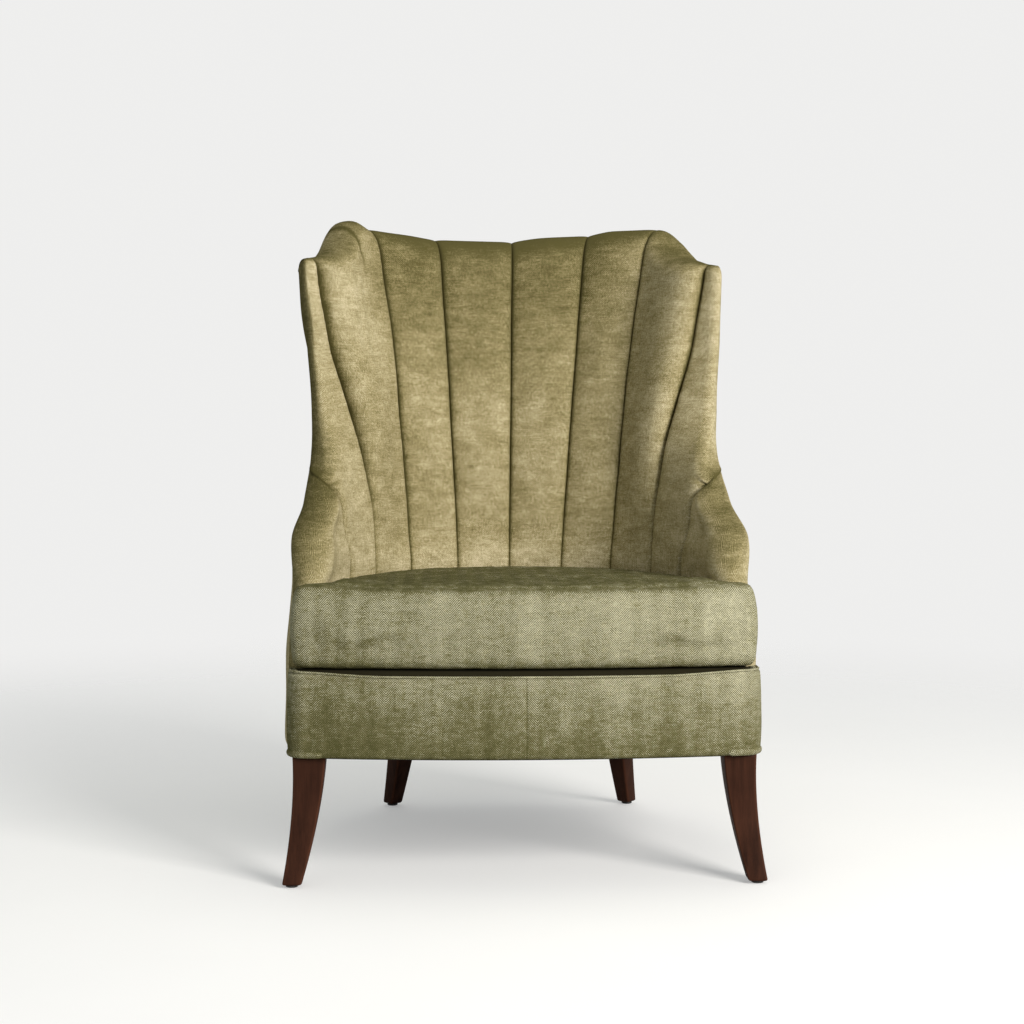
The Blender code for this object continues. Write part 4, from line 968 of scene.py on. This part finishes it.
def front_line(end_y, inset=0.0, corner=18, front=70):
    """Right end to left end of the bowed front in plan, with its outward directions.

    It is set in from the border's face: a straight side, a round corner of CORNER_R, then
    y = FRONT_Y + BOW (x / SIDE_X)^2, mirrored. Where end_y lies inside the corner, the side has no length.
    """
    slope = 0.2
    for _ in range(6):
        lean = math.atan(slope)
        meet = SIDE_X - CORNER_R * (1 - math.sin(lean))
        slope = 2 * BOW * meet / SIDE_X**2
    centre_y = FRONT_Y + BOW * (meet / SIDE_X) ** 2 + CORNER_R * math.cos(lean)
    centre = np.array([SIDE_X - CORNER_R, centre_y])
    begin = math.asin(min(max((end_y - centre[1]) / (CORNER_R - inset), -0.9), 0.0))
    turn = np.linspace(begin, -math.pi / 2 + lean, corner)
    side = centre + CORNER_R * np.array([math.cos(begin), math.sin(begin)])
    side = side + np.linspace(max(end_y - centre[1], 0.0), 0.0, 8)[:-1, None] * (0.0, 1.0)
    round_out = np.stack([np.cos(turn), np.sin(turn)], 1)
    x = np.linspace(meet, 0.0, front)[1:]
    bow_out = np.stack([2 * BOW * x / SIDE_X**2, -np.ones_like(x)], 1)
    bow_out /= np.linalg.norm(bow_out, axis=1, keepdims=True)
    bow = np.stack([x, FRONT_Y + BOW * (x / SIDE_X) ** 2], 1)
    points = np.concatenate([side, centre + CORNER_R * round_out, bow])
    out = np.concatenate([np.broadcast_to(round_out[0], side.shape), round_out, bow_out])
    points = points - inset * out
    return (
        np.concatenate([points, points[-2::-1] * (-1, 1)]),
        np.concatenate([out, out[-2::-1] * (-1, 1)]),
    )


def border_top(x):
    """Height of the border's top edge, which rises a little towards both ends."""
    return BORDER_TOP + 0.006 * ease((np.abs(x) - 0.22) / 0.15)


def seamed_line(end_y):
    """The bowed front line with more points beside the seam down its middle."""
    path, out = front_line(end_y)
    base = np.arange(len(path), dtype=float)
    place = np.sort(np.concatenate([base, np.interp(SEAM_BESIDE, path[::-1, 0], base[::-1])]))
    both = np.concatenate([path, out], 1)
    both = np.stack([np.interp(place, base, column) for column in both.T], 1)
    return both[:, :2], both[:, 2:]


def border_rings(end_y):
    """Padded band over the front rail: round edges, a full face and a seam down its middle."""
    path, out = seamed_line(end_y)
    run = run_of(path, 0)[:, None]
    top = border_top(path[:, :1])
    f = np.linspace(0.0, 1.0, 30)
    face_z = LEG_H + 0.0006 + (top - LEG_H - 0.0006) * f
    low = FOOT_ROUND * (1 - rounded(face_z - LEG_H, FOOT_ROUND))
    high = TOP_ROUND * (1 - rounded(top - face_z, TOP_ROUND))
    full = np.sin(math.pi * f)
    bulge = 0.003 * full - 0.001
    seam = SEAM_DEEP * bell(path[:, :1], SEAM_HALF) * full**0.3
    wave = 0.5 * lumps(run, face_z, 3.0) * full
    inset = low + high - bulge + seam - wave
    inset = np.concatenate([inset, np.full_like(inset, BORDER_DEPTH)], 1)
    inner_z = np.clip(face_z, LEG_H + 0.001, top - 0.0005)
    plan = path[:, None] - inset[..., None] * out[:, None]
    return at_heights(plan, np.concatenate([face_z, inner_z[:, ::-1]], 1))


def mark_border(border):
    """Marks painted shade on the border, darker towards its foot and lighter towards its top, and a dark line
    of painted shade at its middle seam.
    """
    x, _, z = numbers(border.data.vertices, "co").T
    mark(border, "nap", 0.8 * (0.5 - (z - z.min()) / (z.max() - z.min())))
    mark(border, "crease", 0.45 * bell(x, 0.0013))


UPWARDS = np.array([[0.0, 0.0, 1.0]])


def tube_rings(centre, first, second, sides=10):
    """A tube round a path: centre plus cos a times first plus sin a times second, for every turn a."""
    turn = np.linspace(0.0, TAU, sides, endpoint=False)[None, :, None]
    return centre[:, None] + np.cos(turn) * first[:, None] + np.sin(turn) * second[:, None]


def welt_rings(end_y):
    """Thin cord along the border's top edge."""
    path, out = front_line(end_y)
    plan = path - 0.0035 * out
    centre = np.column_stack([plan, border_top(plan[:, 0]) - 0.0005])
    ends = np.minimum(run_of(path, 0), run_of(path[::-1], 0)[::-1])
    radius = (WELT_R * (0.2 + 0.8 * rounded(ends, 0.01)))[:, None]
    flat = np.column_stack([out, np.zeros(len(out))])
    return tube_rings(centre, radius * flat, radius * UPWARDS)


def hem_rings(side):
    """Rolled hem over a front leg: a soft roll with tapered ends along the border's foot and corner."""
    path, out = front_line(-0.30, 0.0, 40, 160)
    run = run_of(path, 0)
    corner = run[np.argmax(out[:, 0] < 0.75)]
    keep = (run > corner - 0.028) & (run < corner + 0.052)
    path, out, run = path[keep], out[keep], run[keep]
    ends = np.minimum(run - run[0], run[-1] - run)
    fat = (0.35 + 0.65 * rounded(ends, 0.010))[:, None]
    centre = np.column_stack([path - 0.0036 * out, np.full(len(path), LEG_H + 0.0064)])
    flat = np.column_stack([out, np.zeros(len(out))])
    rings = tube_rings(centre, HEM_W * fat * flat, HEM_H * fat * UPWARDS, 14)
    return rings if side > 0 else flip_left(rings)


# Seat
SEAT_MIDDLE = np.array([0.0, FRONT_Y + BOW + 0.02])  # the pads' rings draw in towards this place
CUSHION_INSET = 0.006
CUSHION_GAP = 0.008
CUSHION_ROUND = 0.020  # the cushion's sides draw in this far above and below
EAR_X, EAR_LIFT = 0.325, 0.011  # the top rises beside the arms
BACK_DROP = 0.006  # and falls towards the back
CUSHION_VOXEL, CUSHION_PRESSURE, CUSHION_STEPS = 0.006, 4.0, 20  # mesh size and cloth simulation
SIDE_SWELL = 0.0025  # most that the cushion's sides swell
EAR_STRETCH = 1.016  # the ears reach this much further to the sides than the front line


def seat_outline(back_inset, front_inset, nose_clear):
    """Outline of the seat in plan, once round: the back's face, the arms, the ears and the bowed front."""
    s = np.concatenate([np.linspace(0.0, 3.0, 40), np.linspace(3.05, 4.0, 20)])
    inner = shell(s, SEAT_Z, -back_inset, 0.0, 0.0)[:, :2]
    turn = shell(4.0, CUSHION_LOW, -back_inset, NOSE + nose_clear, 0.0)[:2]
    path, _ = front_line(turn[1] - 0.004, front_inset)
    front = path[: len(path) // 2 + 1] * (EAR_STRETCH, 1.0)
    half = np.concatenate([inner, [(inner[-1, 0], turn[1])], front])
    return np.concatenate([half, half[-2:0:-1] * (-1, 1)])


def seat_rings(draws, heights, scales, rises, back_inset, front_inset, nose_clear):
    """Rings of a seat pad: outlines drawn in at heights up its side, then scaled towards its middle."""
    rings = []
    for draw, z in zip(draws, heights):
        edge = seat_outline(back_inset + 0.5 * draw, front_inset + draw, nose_clear + 0.5 * draw)
        rings.append(np.column_stack([edge, np.full(len(edge), z)]))
    for scale, z in zip(scales, rises):
        ring = SEAT_MIDDLE + scale * (edge - SEAT_MIDDLE)
        rings.append(np.column_stack([ring, np.full(len(ring), z)]))
    return np.array(rings)


def cushion_start(shrink, crown):
    """The cushion before it swells: a boxed pad with round edges, full ears and a slope to the back."""
    low, high = CUSHION_LOW + 0.0005, SEAT_Z + 0.007
    turn = np.radians(np.linspace(-90.0, 90.0, 21))
    round_in = CUSHION_ROUND * (1 - np.cos(turn) ** 0.7)
    heights = 0.5 * (low + high) + 0.5 * (high - low) * np.sin(turn)
    scales = np.array([0.96, 0.9, 0.8, 0.65, 0.45, 0.25, 0.08])
    rises = high + crown * (1 - scales**2.2)
    rings = seat_rings(round_in + shrink, heights, scales, rises, CUSHION_GAP, CUSHION_INSET, 0.006)
    x, y, z = np.moveaxis(rings, -1, 0)
    beside_arms = bell(np.abs(x) - EAR_X, 0.055) * ease((-0.20 - y) / 0.10)
    beside_arms = beside_arms * ease((y - FRONT_Y - 0.025) / 0.06)
    lift = EAR_LIFT * beside_arms - BACK_DROP * ease((y + 0.30) / 0.30)
    rings[..., 2] = z + lift * ease(2 * (z - low) / (high - low) - 1)
    plan = SEAT_MIDDLE + scales[::-1, None, None] * (rings[0][:, :2] - SEAT_MIDDLE)
    return np.concatenate([at_heights(plan, low), rings])


def swell(obj, voxel, pressure, steps):
    """Remeshes a pad evenly and blows it up as cloth, with no weight; gives the points before and after."""
    scene = bpy.context.scene
    remesh = obj.modifiers.new("even", "REMESH")
    remesh.mode = "VOXEL"
    remesh.voxel_size = voxel
    obj.data = bpy.data.meshes.new_from_object(obj.evaluated_get(bpy.context.evaluated_depsgraph_get()))
    obj.modifiers.clear()
    start = end = numbers(obj.data.vertices, "co").astype(float)
    cloth = obj.modifiers.new("swell", "CLOTH")
    cloth.settings.quality = 4
    cloth.settings.use_pressure = True
    cloth.settings.uniform_pressure_force = pressure
    cloth.settings.effector_weights.gravity = 0.0
    cloth.point_cache.frame_end = steps
    for n in range(1, steps + 1):
        scene.frame_set(n)
    swollen = obj.evaluated_get(bpy.context.evaluated_depsgraph_get())
    end = numbers(swollen.data.vertices, "co").astype(float)
    obj.modifiers.clear()
    scene.frame_set(1)
    return start, end


def box_weave(obj):
    """Gives a mesh its weave map by the axis that each face looks along."""
    mesh = obj.data
    normals = np.abs(numbers(mesh.polygons, "normal"))
    count = numbers(mesh.polygons, "loop_total", 1, np.int32)[:, 0]
    index = numbers(mesh.loops, "vertex_index", 1, np.int32)[:, 0]
    at = numbers(mesh.vertices, "co")[index]
    axis = np.repeat(np.argmax(normals * (1.0, 1.0, 0.8), 1), count)
    u = np.where(axis == 0, at[:, 1], at[:, 0])
    v = np.where(axis == 2, at[:, 1], at[:, 2])
    layer = mesh.uv_layers.get("weave") or mesh.uv_layers.new(name="weave")
    layer.data.foreach_set("uv", np.stack([u, v], 1).astype(np.float32).ravel())


def dust_rings():
    """Dust cover: a thin sheet under the rails with a turned hem, which sags a little in its middle."""
    s = np.linspace(0.0, 4.0, 60)
    inner = shell(s, LEG_H, thickness(s, LEG_H) - 0.008, 0.0, 0.0)[:, :2]
    path, _ = front_line(inner[-1, 1] - 0.002, 0.018)
    half = np.concatenate([inner, path[: len(path) // 2 + 1]])
    edge = np.concatenate([half, half[-2:0:-1] * (-1, 1)])
    middle = np.array([0.0, 0.5 * (edge[:, 1].min() + edge[:, 1].max())])
    scales = np.array([0.04, 0.3, 0.6, 0.8, 0.955, 0.958, 1.0])
    hem = np.where(scales > 0.956, 0.0007, 0.0)
    sag = 0.004 * (1 - np.clip(scales, 0.0, 0.955) ** 2)
    above = DUST_TOP - sag
    below = DUST_LOW - sag - hem
    scales = np.concatenate([scales, scales[::-1]])
    heights = np.concatenate([above, below[::-1]])
    return at_heights(middle + scales[:, None, None] * (edge - middle), heights[:, None])


# Legs
LEG_CORNER, LEG_CORNER_POINTS = 0.0042, 6  # radius of a leg's long edges, and points round one


def spun(turn):
    """Matrix that turns plan places."""
    return np.array([[math.cos(turn), -math.sin(turn)], [math.sin(turn), math.cos(turn)]])


def leg_place(leg, f):
    """Plan place of a leg's middle at a share f of its height: it sweeps outwards by (1 - f)^sweep."""
    down = np.asarray((1 - f) ** leg["sweep"])
    return np.array(leg["at"]) + (0.0, PLAN_Y) + down[..., None] * np.array(leg["splay"])


def rounded_square(corner, count):
    """A unit square with round corners, as a closed ring: quarter circles joined by straight sides."""
    turn = np.linspace(0.0, math.pi / 2, count)
    quarter = (1 - corner) + corner * np.stack([np.cos(turn), np.sin(turn)], 1)
    return np.concatenate([quarter @ spun(a).T for a in np.arange(4) * math.pi / 2])


def leg_rings(leg, side):
    """A square leg that sweeps and tapers, with eased edges and an eased foot."""
    foot = GLIDE_H + 0.0004
    ease_in = 0.004
    z = foot + ease_in * np.linspace(0.0, 1.0, 6)
    z = np.concatenate([z[:-1], np.linspace(foot + ease_in, LEG_H - 0.0003, 42)])
    draw = ease_in * (1 - rounded(z - foot, ease_in))
    f = z / LEG_H
    wide, narrow = leg["size"]
    half = 0.5 * (narrow + (wide - narrow) * f) - draw
    ring = np.stack([rounded_square(LEG_CORNER / size, LEG_CORNER_POINTS) * size for size in half])
    plan = ring @ spun(leg["turn"]).T + leg_place(leg, f)[:, None]
    rings = at_heights(plan, z[:, None])
    return rings if side > 0 else flip_left(rings)


def mark_edge(obj, rings):
    """Stores 1 on a leg's rounded edges and 0 on its faces, as the attribute edge."""
    spread = np.tile(np.sin(np.linspace(0.0, math.pi, LEG_CORNER_POINTS)), 4)
    mark(obj, "edge", np.broadcast_to(spread, rings.shape[:2]))


def glide_rings(leg, side):
    """Nail glide: a low dome turned about the foot's middle."""
    x, y = leg_place(leg, GLIDE_H / LEG_H)
    reach = np.array([0.0004, 0.0055, 0.0084, 0.0097, 0.0100, 0.0098, 0.0088, 0.0004])
    height = np.array([0.0, 0.0, 0.0004, 0.0012, 0.0022, 0.0032, GLIDE_H, GLIDE_H])
    turn = np.linspace(0.0, TAU, 28, endpoint=False)
    ring = np.stack([np.cos(turn), np.sin(turn)], -1)
    return at_heights(np.array([side * x, y]) + reach[:, None, None] * ring, height[:, None])


SIDES = ((1, "right"), (-1, "left"))

# Studio: the camera, with focal length and horizon in pixels of the square picture
FOCAL_PX, FRAME_PX, HORIZON_PX = 1941.0, 1024.0, 420.0
SENSOR_MM = 36.0
CAMERA_AT = (-0.147, -3.455, 0.742)
CAMERA_TURN = math.radians(2.31)
# Lamps: name, place, size and power; all aim at one place
LAMPS = (
    ("key", (3.2, -4.2, 2.6), 2.3, 360.0),
    ("fill", (-1.6, -3.2, 1.2), 2.4, 10.0),
    ("top", (0.2, 0.3, 3.0), 2.0, 14.0),
)
LAMP_COLOUR = (1.0, 0.965, 0.92)
LAMP_AIM = np.array([0.0, 0.0, 0.55])
# World: colour and strength of its light, and of what the camera sees
WORLD_LIT = ((0.94, 1.0, 0.96, 1.0), 0.30)
WORLD_SEEN = ((0.86, 0.858, 0.85, 1.0), 1.0)
FLOOR_REACH = (0.01, 1.0, 2.0, 4.0, 9.0)
FLOOR_CLEARS = (0.5, 3.4)  # the floor fades into the backdrop between these distances
FLOOR_GLOW = (0.30, 0.30, 0.30)  # added where the camera sees it


# Operators
class CHAIR_OT_channels(bpy.types.Operator):
    """Sew the eight channels of the back and wings"""

    bl_idname = "chair.channels"
    bl_label = "Back channels"

    def execute(self, context):
        for side, _ in SIDES:
            for k in range(4):
                name = f"back_channel_{5 + k if side > 0 else 4 - k}"
                rings, seam = channel_rings(k, side) if k < 3 else outer_channel_rings(side)
                obj = loft(name + "_cloth", rings, "pile_cloth", 30)
                # Painted shade at the seams.
                mark(obj, "crease", seam_shade(seam))
                # Painted shade on the left outer channel where it faces left, away from the key lamp.
                if k == 3 and side < 0:
                    mark_painted_shade(obj, 0.8)
                dress(obj, "chair", "upholstery_fabric", name)
        return {"FINISHED"}


class CHAIR_OT_arm_pads(bpy.types.Operator):
    """Sew the two arm pads"""

    bl_idname = "chair.arm_pads"
    bl_label = "Arm pads"

    def execute(self, context):
        for side, name in SIDES:
            rings, seam = arm_pad_rings(side)
            obj = loft(name + "_arm_cloth", rings, "pile_cloth", 22)
            # Painted shade at the seam.
            mark(obj, "crease", seam_shade(seam))
            # Painted shade on the left arm pad where it faces left, away from the key lamp.
            if side < 0:
                mark_painted_shade(obj, 0.65)
            dress(obj, "chair", "upholstery_fabric", name + "_arm_pad")
        return {"FINISHED"}


class CHAIR_OT_covers(bpy.types.Operator):
    """Stretch the outside covers over the back and the sides"""

    bl_idname = "chair.covers"
    bl_label = "Outside covers"

    def execute(self, context):
        def fixed(value):
            """An edge of a cover that keeps its s at all heights."""
            return lambda z: np.full_like(z, value)

        rings = cover_rings(fixed(-COVER_SEAM_S), fixed(COVER_SEAM_S), 5.0)
        self.stretch("outside_back", rings, "outside_back_cover", ("back_rail", "crest_rail"))
        for side, name in SIDES:

            def edge_end(z):
                """The front end of a side cover: below the arm pad at the edge, above behind its cloth."""
                return side * np.where(z < FACE_LOW, 4.0, wrap_s(z, side))

            rings = cover_rings(fixed(side * COVER_SEAM_S), edge_end, 6.0 + side)
            held_by = (name + "_side_rail", name + "_wing_post")
            self.stretch(name + "_outside", rings, name + "_outside_cover", held_by)
        return {"FINISHED"}

    def stretch(self, name, rings, node, rests_on):
        """Lays one cover on the shell; its flat length is its height and what is turned under. rests_on is
        not used.
        """
        obj = loft(name + "_cloth", rings, "pile_cloth", 45)
        dress(obj, "chair", "upholstery_fabric", node)


class CHAIR_OT_border(bpy.types.Operator):
    """Cover the front rail: the padded border, its welt and the hems over the front legs"""

    bl_idname = "chair.border"
    bl_label = "Front border"

    def execute(self, context):
        end_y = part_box("front_border")[1].y
        border = loft("front_border_cloth", border_rings(end_y), "border_cloth", 15, True)
        mark_border(border)
        dress(border, "chair", "upholstery_fabric", "front_border")
        welt = loft("border_welt_cord", welt_rings(end_y), "cushion_cloth", 0, True)
        # The welt gets no painted shade.
        mark(welt, "nap", np.zeros(len(welt.data.vertices)))
        dress(welt, "chair", "upholstery_fabric", "border_welt")
        for side, name in SIDES:
            hem = loft(name + "_leg_hem", hem_rings(side), "border_cloth", 0, True)
            dress(hem, "chair", "upholstery_fabric")
        return {"FINISHED"}


class CHAIR_OT_cushion(bpy.types.Operator):
    """Fill the loose seat cushion: a boxed cover swollen by a cloth simulation"""

    bl_idname = "chair.cushion"
    bl_label = "Seat cushion"

    def execute(self, context):
        shrink, crown = ((0.001, 0.001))
        obj = loft("seat_cushion_cloth", cushion_start(shrink, crown), "cushion_cloth")
        start, end = swell(obj, CUSHION_VOXEL, CUSHION_PRESSURE, CUSHION_STEPS)
        caps = np.array([SIDE_SWELL, SIDE_SWELL, context.scene.chair_sizes.cushion_rise])
        moved = caps * np.tanh((end - start) / caps)
        moved *= 0.2 + 0.8 * ease((start[:, 2:] - CUSHION_LOW - 0.008) / 0.03)
        moved[:, 2] = np.maximum(moved[:, 2], -0.001)
        points = start + moved
        points[:, 2] = np.maximum(points[:, 2], CUSHION_LOW + 0.0003)
        obj.data.vertices.foreach_set("co", points.astype(np.float32).ravel())
        obj.data.polygons.foreach_set("use_smooth", np.ones(len(obj.data.polygons), bool))
        obj.data.update()
        if not obj.data.materials:
            obj.data.materials.append(finish_named("cushion_cloth"))
        box_weave(obj)
        # Painted shade where the cushion faces up and under its lower edge, which turns under out of the
        # light.
        mark_painted_shade(obj, 0.0, 1.0)
        dress(obj, "seat_cushion", "upholstery_fabric", "cushion_cover", "cushion_core")
        return {"FINISHED"}


class CHAIR_OT_deck(bpy.types.Operator):
    """Lay the seat deck under the cushion and the dust cover under the frame"""

    bl_idname = "chair.deck"
    bl_label = "Seat deck and dust cover"

    def execute(self, context):
        edge = min(0.016, DECK_TOP - DECK_LOW - 0.001)
        heights = np.concatenate([[DECK_LOW], np.linspace(DECK_TOP - edge, DECK_TOP, 8)])
        draws = edge * (1 - rounded(DECK_TOP - heights, edge))
        scales = np.array([0.95, 0.8, 0.6, 0.4, 0.2, 0.06])
        rises = DECK_TOP - 0.004 * (1 - scales**2)
        rings = seat_rings(draws, heights, scales, rises, 0.006, 0.0175, 0.002)
        # Near black: partly a dark lining, partly painted shade under the cushion's front.
        deck = loft("seat_deck_cloth", rings, "deck_cloth")
        dress(deck, "chair", "foam", "seat_deck_pad")
        rings = dust_rings()
        dust = loft("dust_cover_cloth", rings, "dust_cloth")
        dress(dust, "chair", "dust_cloth", "dust_cover")
        return {"FINISHED"}


class CHAIR_OT_legs(bpy.types.Operator):
    """Turn out the four legs and their nail glides"""

    bl_idname = "chair.legs"
    bl_label = "Legs"

    def execute(self, context):
        for place, leg in (("front", FRONT_LEG), ("rear", REAR_LEG)):
            for side, name in SIDES:
                rings = leg_rings(leg, side)
                obj = loft(f"{name}_{place}_leg_wood", rings, "leg_wood")
                mark_edge(obj, rings)
                dress(obj, "chair", "leg_wood", f"{name}_{place}_leg")
                glide = loft(f"{name}_{place}_nail_glide", glide_rings(leg, side), "glide_nylon")
                dress(glide, "chair", "glide_nylon", f"{name}_{place}_glide")
        return {"FINISHED"}


class CHAIR_OT_inside(bpy.types.Operator):
    """Finish the pieces of the frame that keep their CAD shape"""

    bl_idname = "chair.inside"
    bl_label = "Frame finishes"

    def execute(self, context):
        finishes = (
            ("spring", "steel"), ("bolt", "steel"), ("slider", "steel"), ("zip", "zip_tape"), ("pad", "foam"),
            ("burlap", "burlap"), ("dust", "dust_cloth"), ("", "frame_wood"),
        )
        for name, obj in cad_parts.items():
            finish = next(finish for word, finish in finishes if word in name)
            obj.data.materials.clear()
            obj.data.materials.append(finish_named(finish))
        return {"FINISHED"}


class CHAIR_OT_stage(bpy.types.Operator):
    """Set the floor, the soft light and the camera"""

    bl_idname = "chair.stage"
    bl_label = "Studio"

    def execute(self, context):
        scene = context.scene
        scene.view_settings.view_transform = "Standard"
        self.lay_floor(scene)
        self.light(scene)
        data = bpy.data.cameras.new("camera")
        data.sensor_width = SENSOR_MM
        data.lens = FOCAL_PX / FRAME_PX * SENSOR_MM
        data.shift_y = (HORIZON_PX - 0.5 * FRAME_PX) / FRAME_PX
        camera = bpy.data.objects.new("camera", data)
        camera.location = CAMERA_AT
        camera.rotation_euler = (math.pi / 2, 0.0, -CAMERA_TURN)
        scene.collection.objects.link(camera)
        scene.camera = camera
        return {"FINISHED"}

    def lay_floor(self, scene):
        """A disc of rings; its rim clears to the pale backdrop."""
        reach = np.array(FLOOR_REACH)
        around = 64
        turn = np.linspace(0.0, TAU, around, endpoint=False)
        ring = np.stack([np.cos(turn), np.sin(turn), 0 * turn], -1)
        points = (reach[:, None, None] * ring).reshape(-1, 3)
        mesh = bpy.data.meshes.new("floor")
        i, j = np.meshgrid(np.arange(len(reach) - 1) * around, np.arange(around), indexing="ij")
        k = (j + 1) % around
        quads = np.stack([i + j, i + around + j, i + around + k, i + k], -1).reshape(-1, 4)
        mesh.from_pydata(points.tolist(), [], quads.tolist() + [list(range(around))])
        finish = Finish("studio_floor")
        at = finish.place()
        cloud = finish.noise(at, 3.0, 3.0)
        colour = tuple(scene.chair_colours.floor)
        pale = tuple(min(1.0, 1.06 * c) for c in colour)
        seen = finish.node("ShaderNodeLightPath").out("Is Camera Ray")
        finish.surface(
            Base_Color=finish.mix(cloud, colour, pale), Roughness=0.8 + 0.1 * cloud,
            Emission_Strength=1.0, Emission_Color=finish.mix(seen, (0.0, 0.0, 0.0), FLOOR_GLOW))
        far = finish.node("ShaderNodeVectorMath", {"operation": "LENGTH"}, {0: at})
        clear = finish.node("ShaderNodeBsdfTransparent")
        solid = Link(finish, finish.shader.outputs["BSDF"])
        blend = finish.node("ShaderNodeMixShader", None, {0: far.step(*FLOOR_CLEARS), 1: solid, 2: clear})
        finish.tree.links.new(blend.socket, finish.tree.nodes["Material Output"].inputs["Surface"])
        mesh.materials.append(finish.material)
        floor = bpy.data.objects.new("floor", mesh)
        scene.collection.objects.link(floor)

    def light(self, scene):
        """A pale world, a large soft key from the right, a weak fill from the left and a soft top light."""
        world = bpy.data.worlds.new("studio")
        world.use_nodes = True
        tree = world.node_tree
        lit, seen = tree.nodes["Background"], tree.nodes.new("ShaderNodeBackground")
        for node, (colour, strength) in ((lit, WORLD_LIT), (seen, WORLD_SEEN)):
            node.inputs["Color"].default_value = colour
            node.inputs["Strength"].default_value = strength
        ray = tree.nodes.new("ShaderNodeLightPath")
        either = tree.nodes.new("ShaderNodeMath")
        either.operation = "MAXIMUM"
        for n, kind in enumerate(("Is Camera Ray", "Is Glossy Ray")):
            tree.links.new(ray.outputs[kind], either.inputs[n])
        blend = tree.nodes.new("ShaderNodeMixShader")
        for n, node in enumerate((either, lit, seen)):
            tree.links.new(node.outputs[0], blend.inputs[n])
        tree.links.new(blend.outputs[0], tree.nodes["World Output"].inputs["Surface"])
        scene.world = world
        for name, place, size, power in LAMPS:
            data = bpy.data.lights.new(name, "AREA")
            data.color = LAMP_COLOUR
            data.size = size
            data.energy = power
            lamp = bpy.data.objects.new(name, data)
            lamp.location = place
            aim = LAMP_AIM - np.array(place)
            flat = math.hypot(aim[0], aim[1])
            heading = math.atan2(aim[1], aim[0]) - math.pi / 2
            lamp.rotation_euler = (math.atan2(flat, -aim[2]), 0.0, heading)
            scene.collection.objects.link(lamp)


class CHAIR_PT_panel(bpy.types.Panel):
    """Sidebar panel that lists the pieces of the chair"""

    bl_idname = "CHAIR_PT_panel"
    bl_label = "Wingback chair"
    bl_space_type = "VIEW_3D"
    bl_region_type = "UI"
    bl_category = "Chair"

    def draw(self, context):
        for operator in OPERATORS:
            self.layout.operator(operator.bl_idname)
        for group in (context.scene.chair_sizes, context.scene.chair_colours):
            for name in group.__annotations__:
                self.layout.prop(group, name)


OPERATORS = (
    CHAIR_OT_stage, CHAIR_OT_inside, CHAIR_OT_channels, CHAIR_OT_arm_pads, CHAIR_OT_covers, CHAIR_OT_border,
    CHAIR_OT_deck, CHAIR_OT_legs, CHAIR_OT_cushion,
)
CLASSES = (ChairSizes, ChairColours, *OPERATORS, CHAIR_PT_panel)


def register():
    for cls in CLASSES:
        bpy.utils.register_class(cls)
    bpy.types.Scene.chair_sizes = bpy.props.PointerProperty(type=ChairSizes)
    bpy.types.Scene.chair_colours = bpy.props.PointerProperty(type=ChairColours)


def unregister():
    del bpy.types.Scene.chair_colours
    del bpy.types.Scene.chair_sizes
    for cls in reversed(CLASSES):
        bpy.utils.unregister_class(cls)


def main():
    register()
    for operator in OPERATORS:
        group, name = operator.bl_idname.split(".")
        getattr(getattr(bpy.ops, group), name)()
    bpy.context.view_layer.update()


if __name__ == "__main__":
    main()
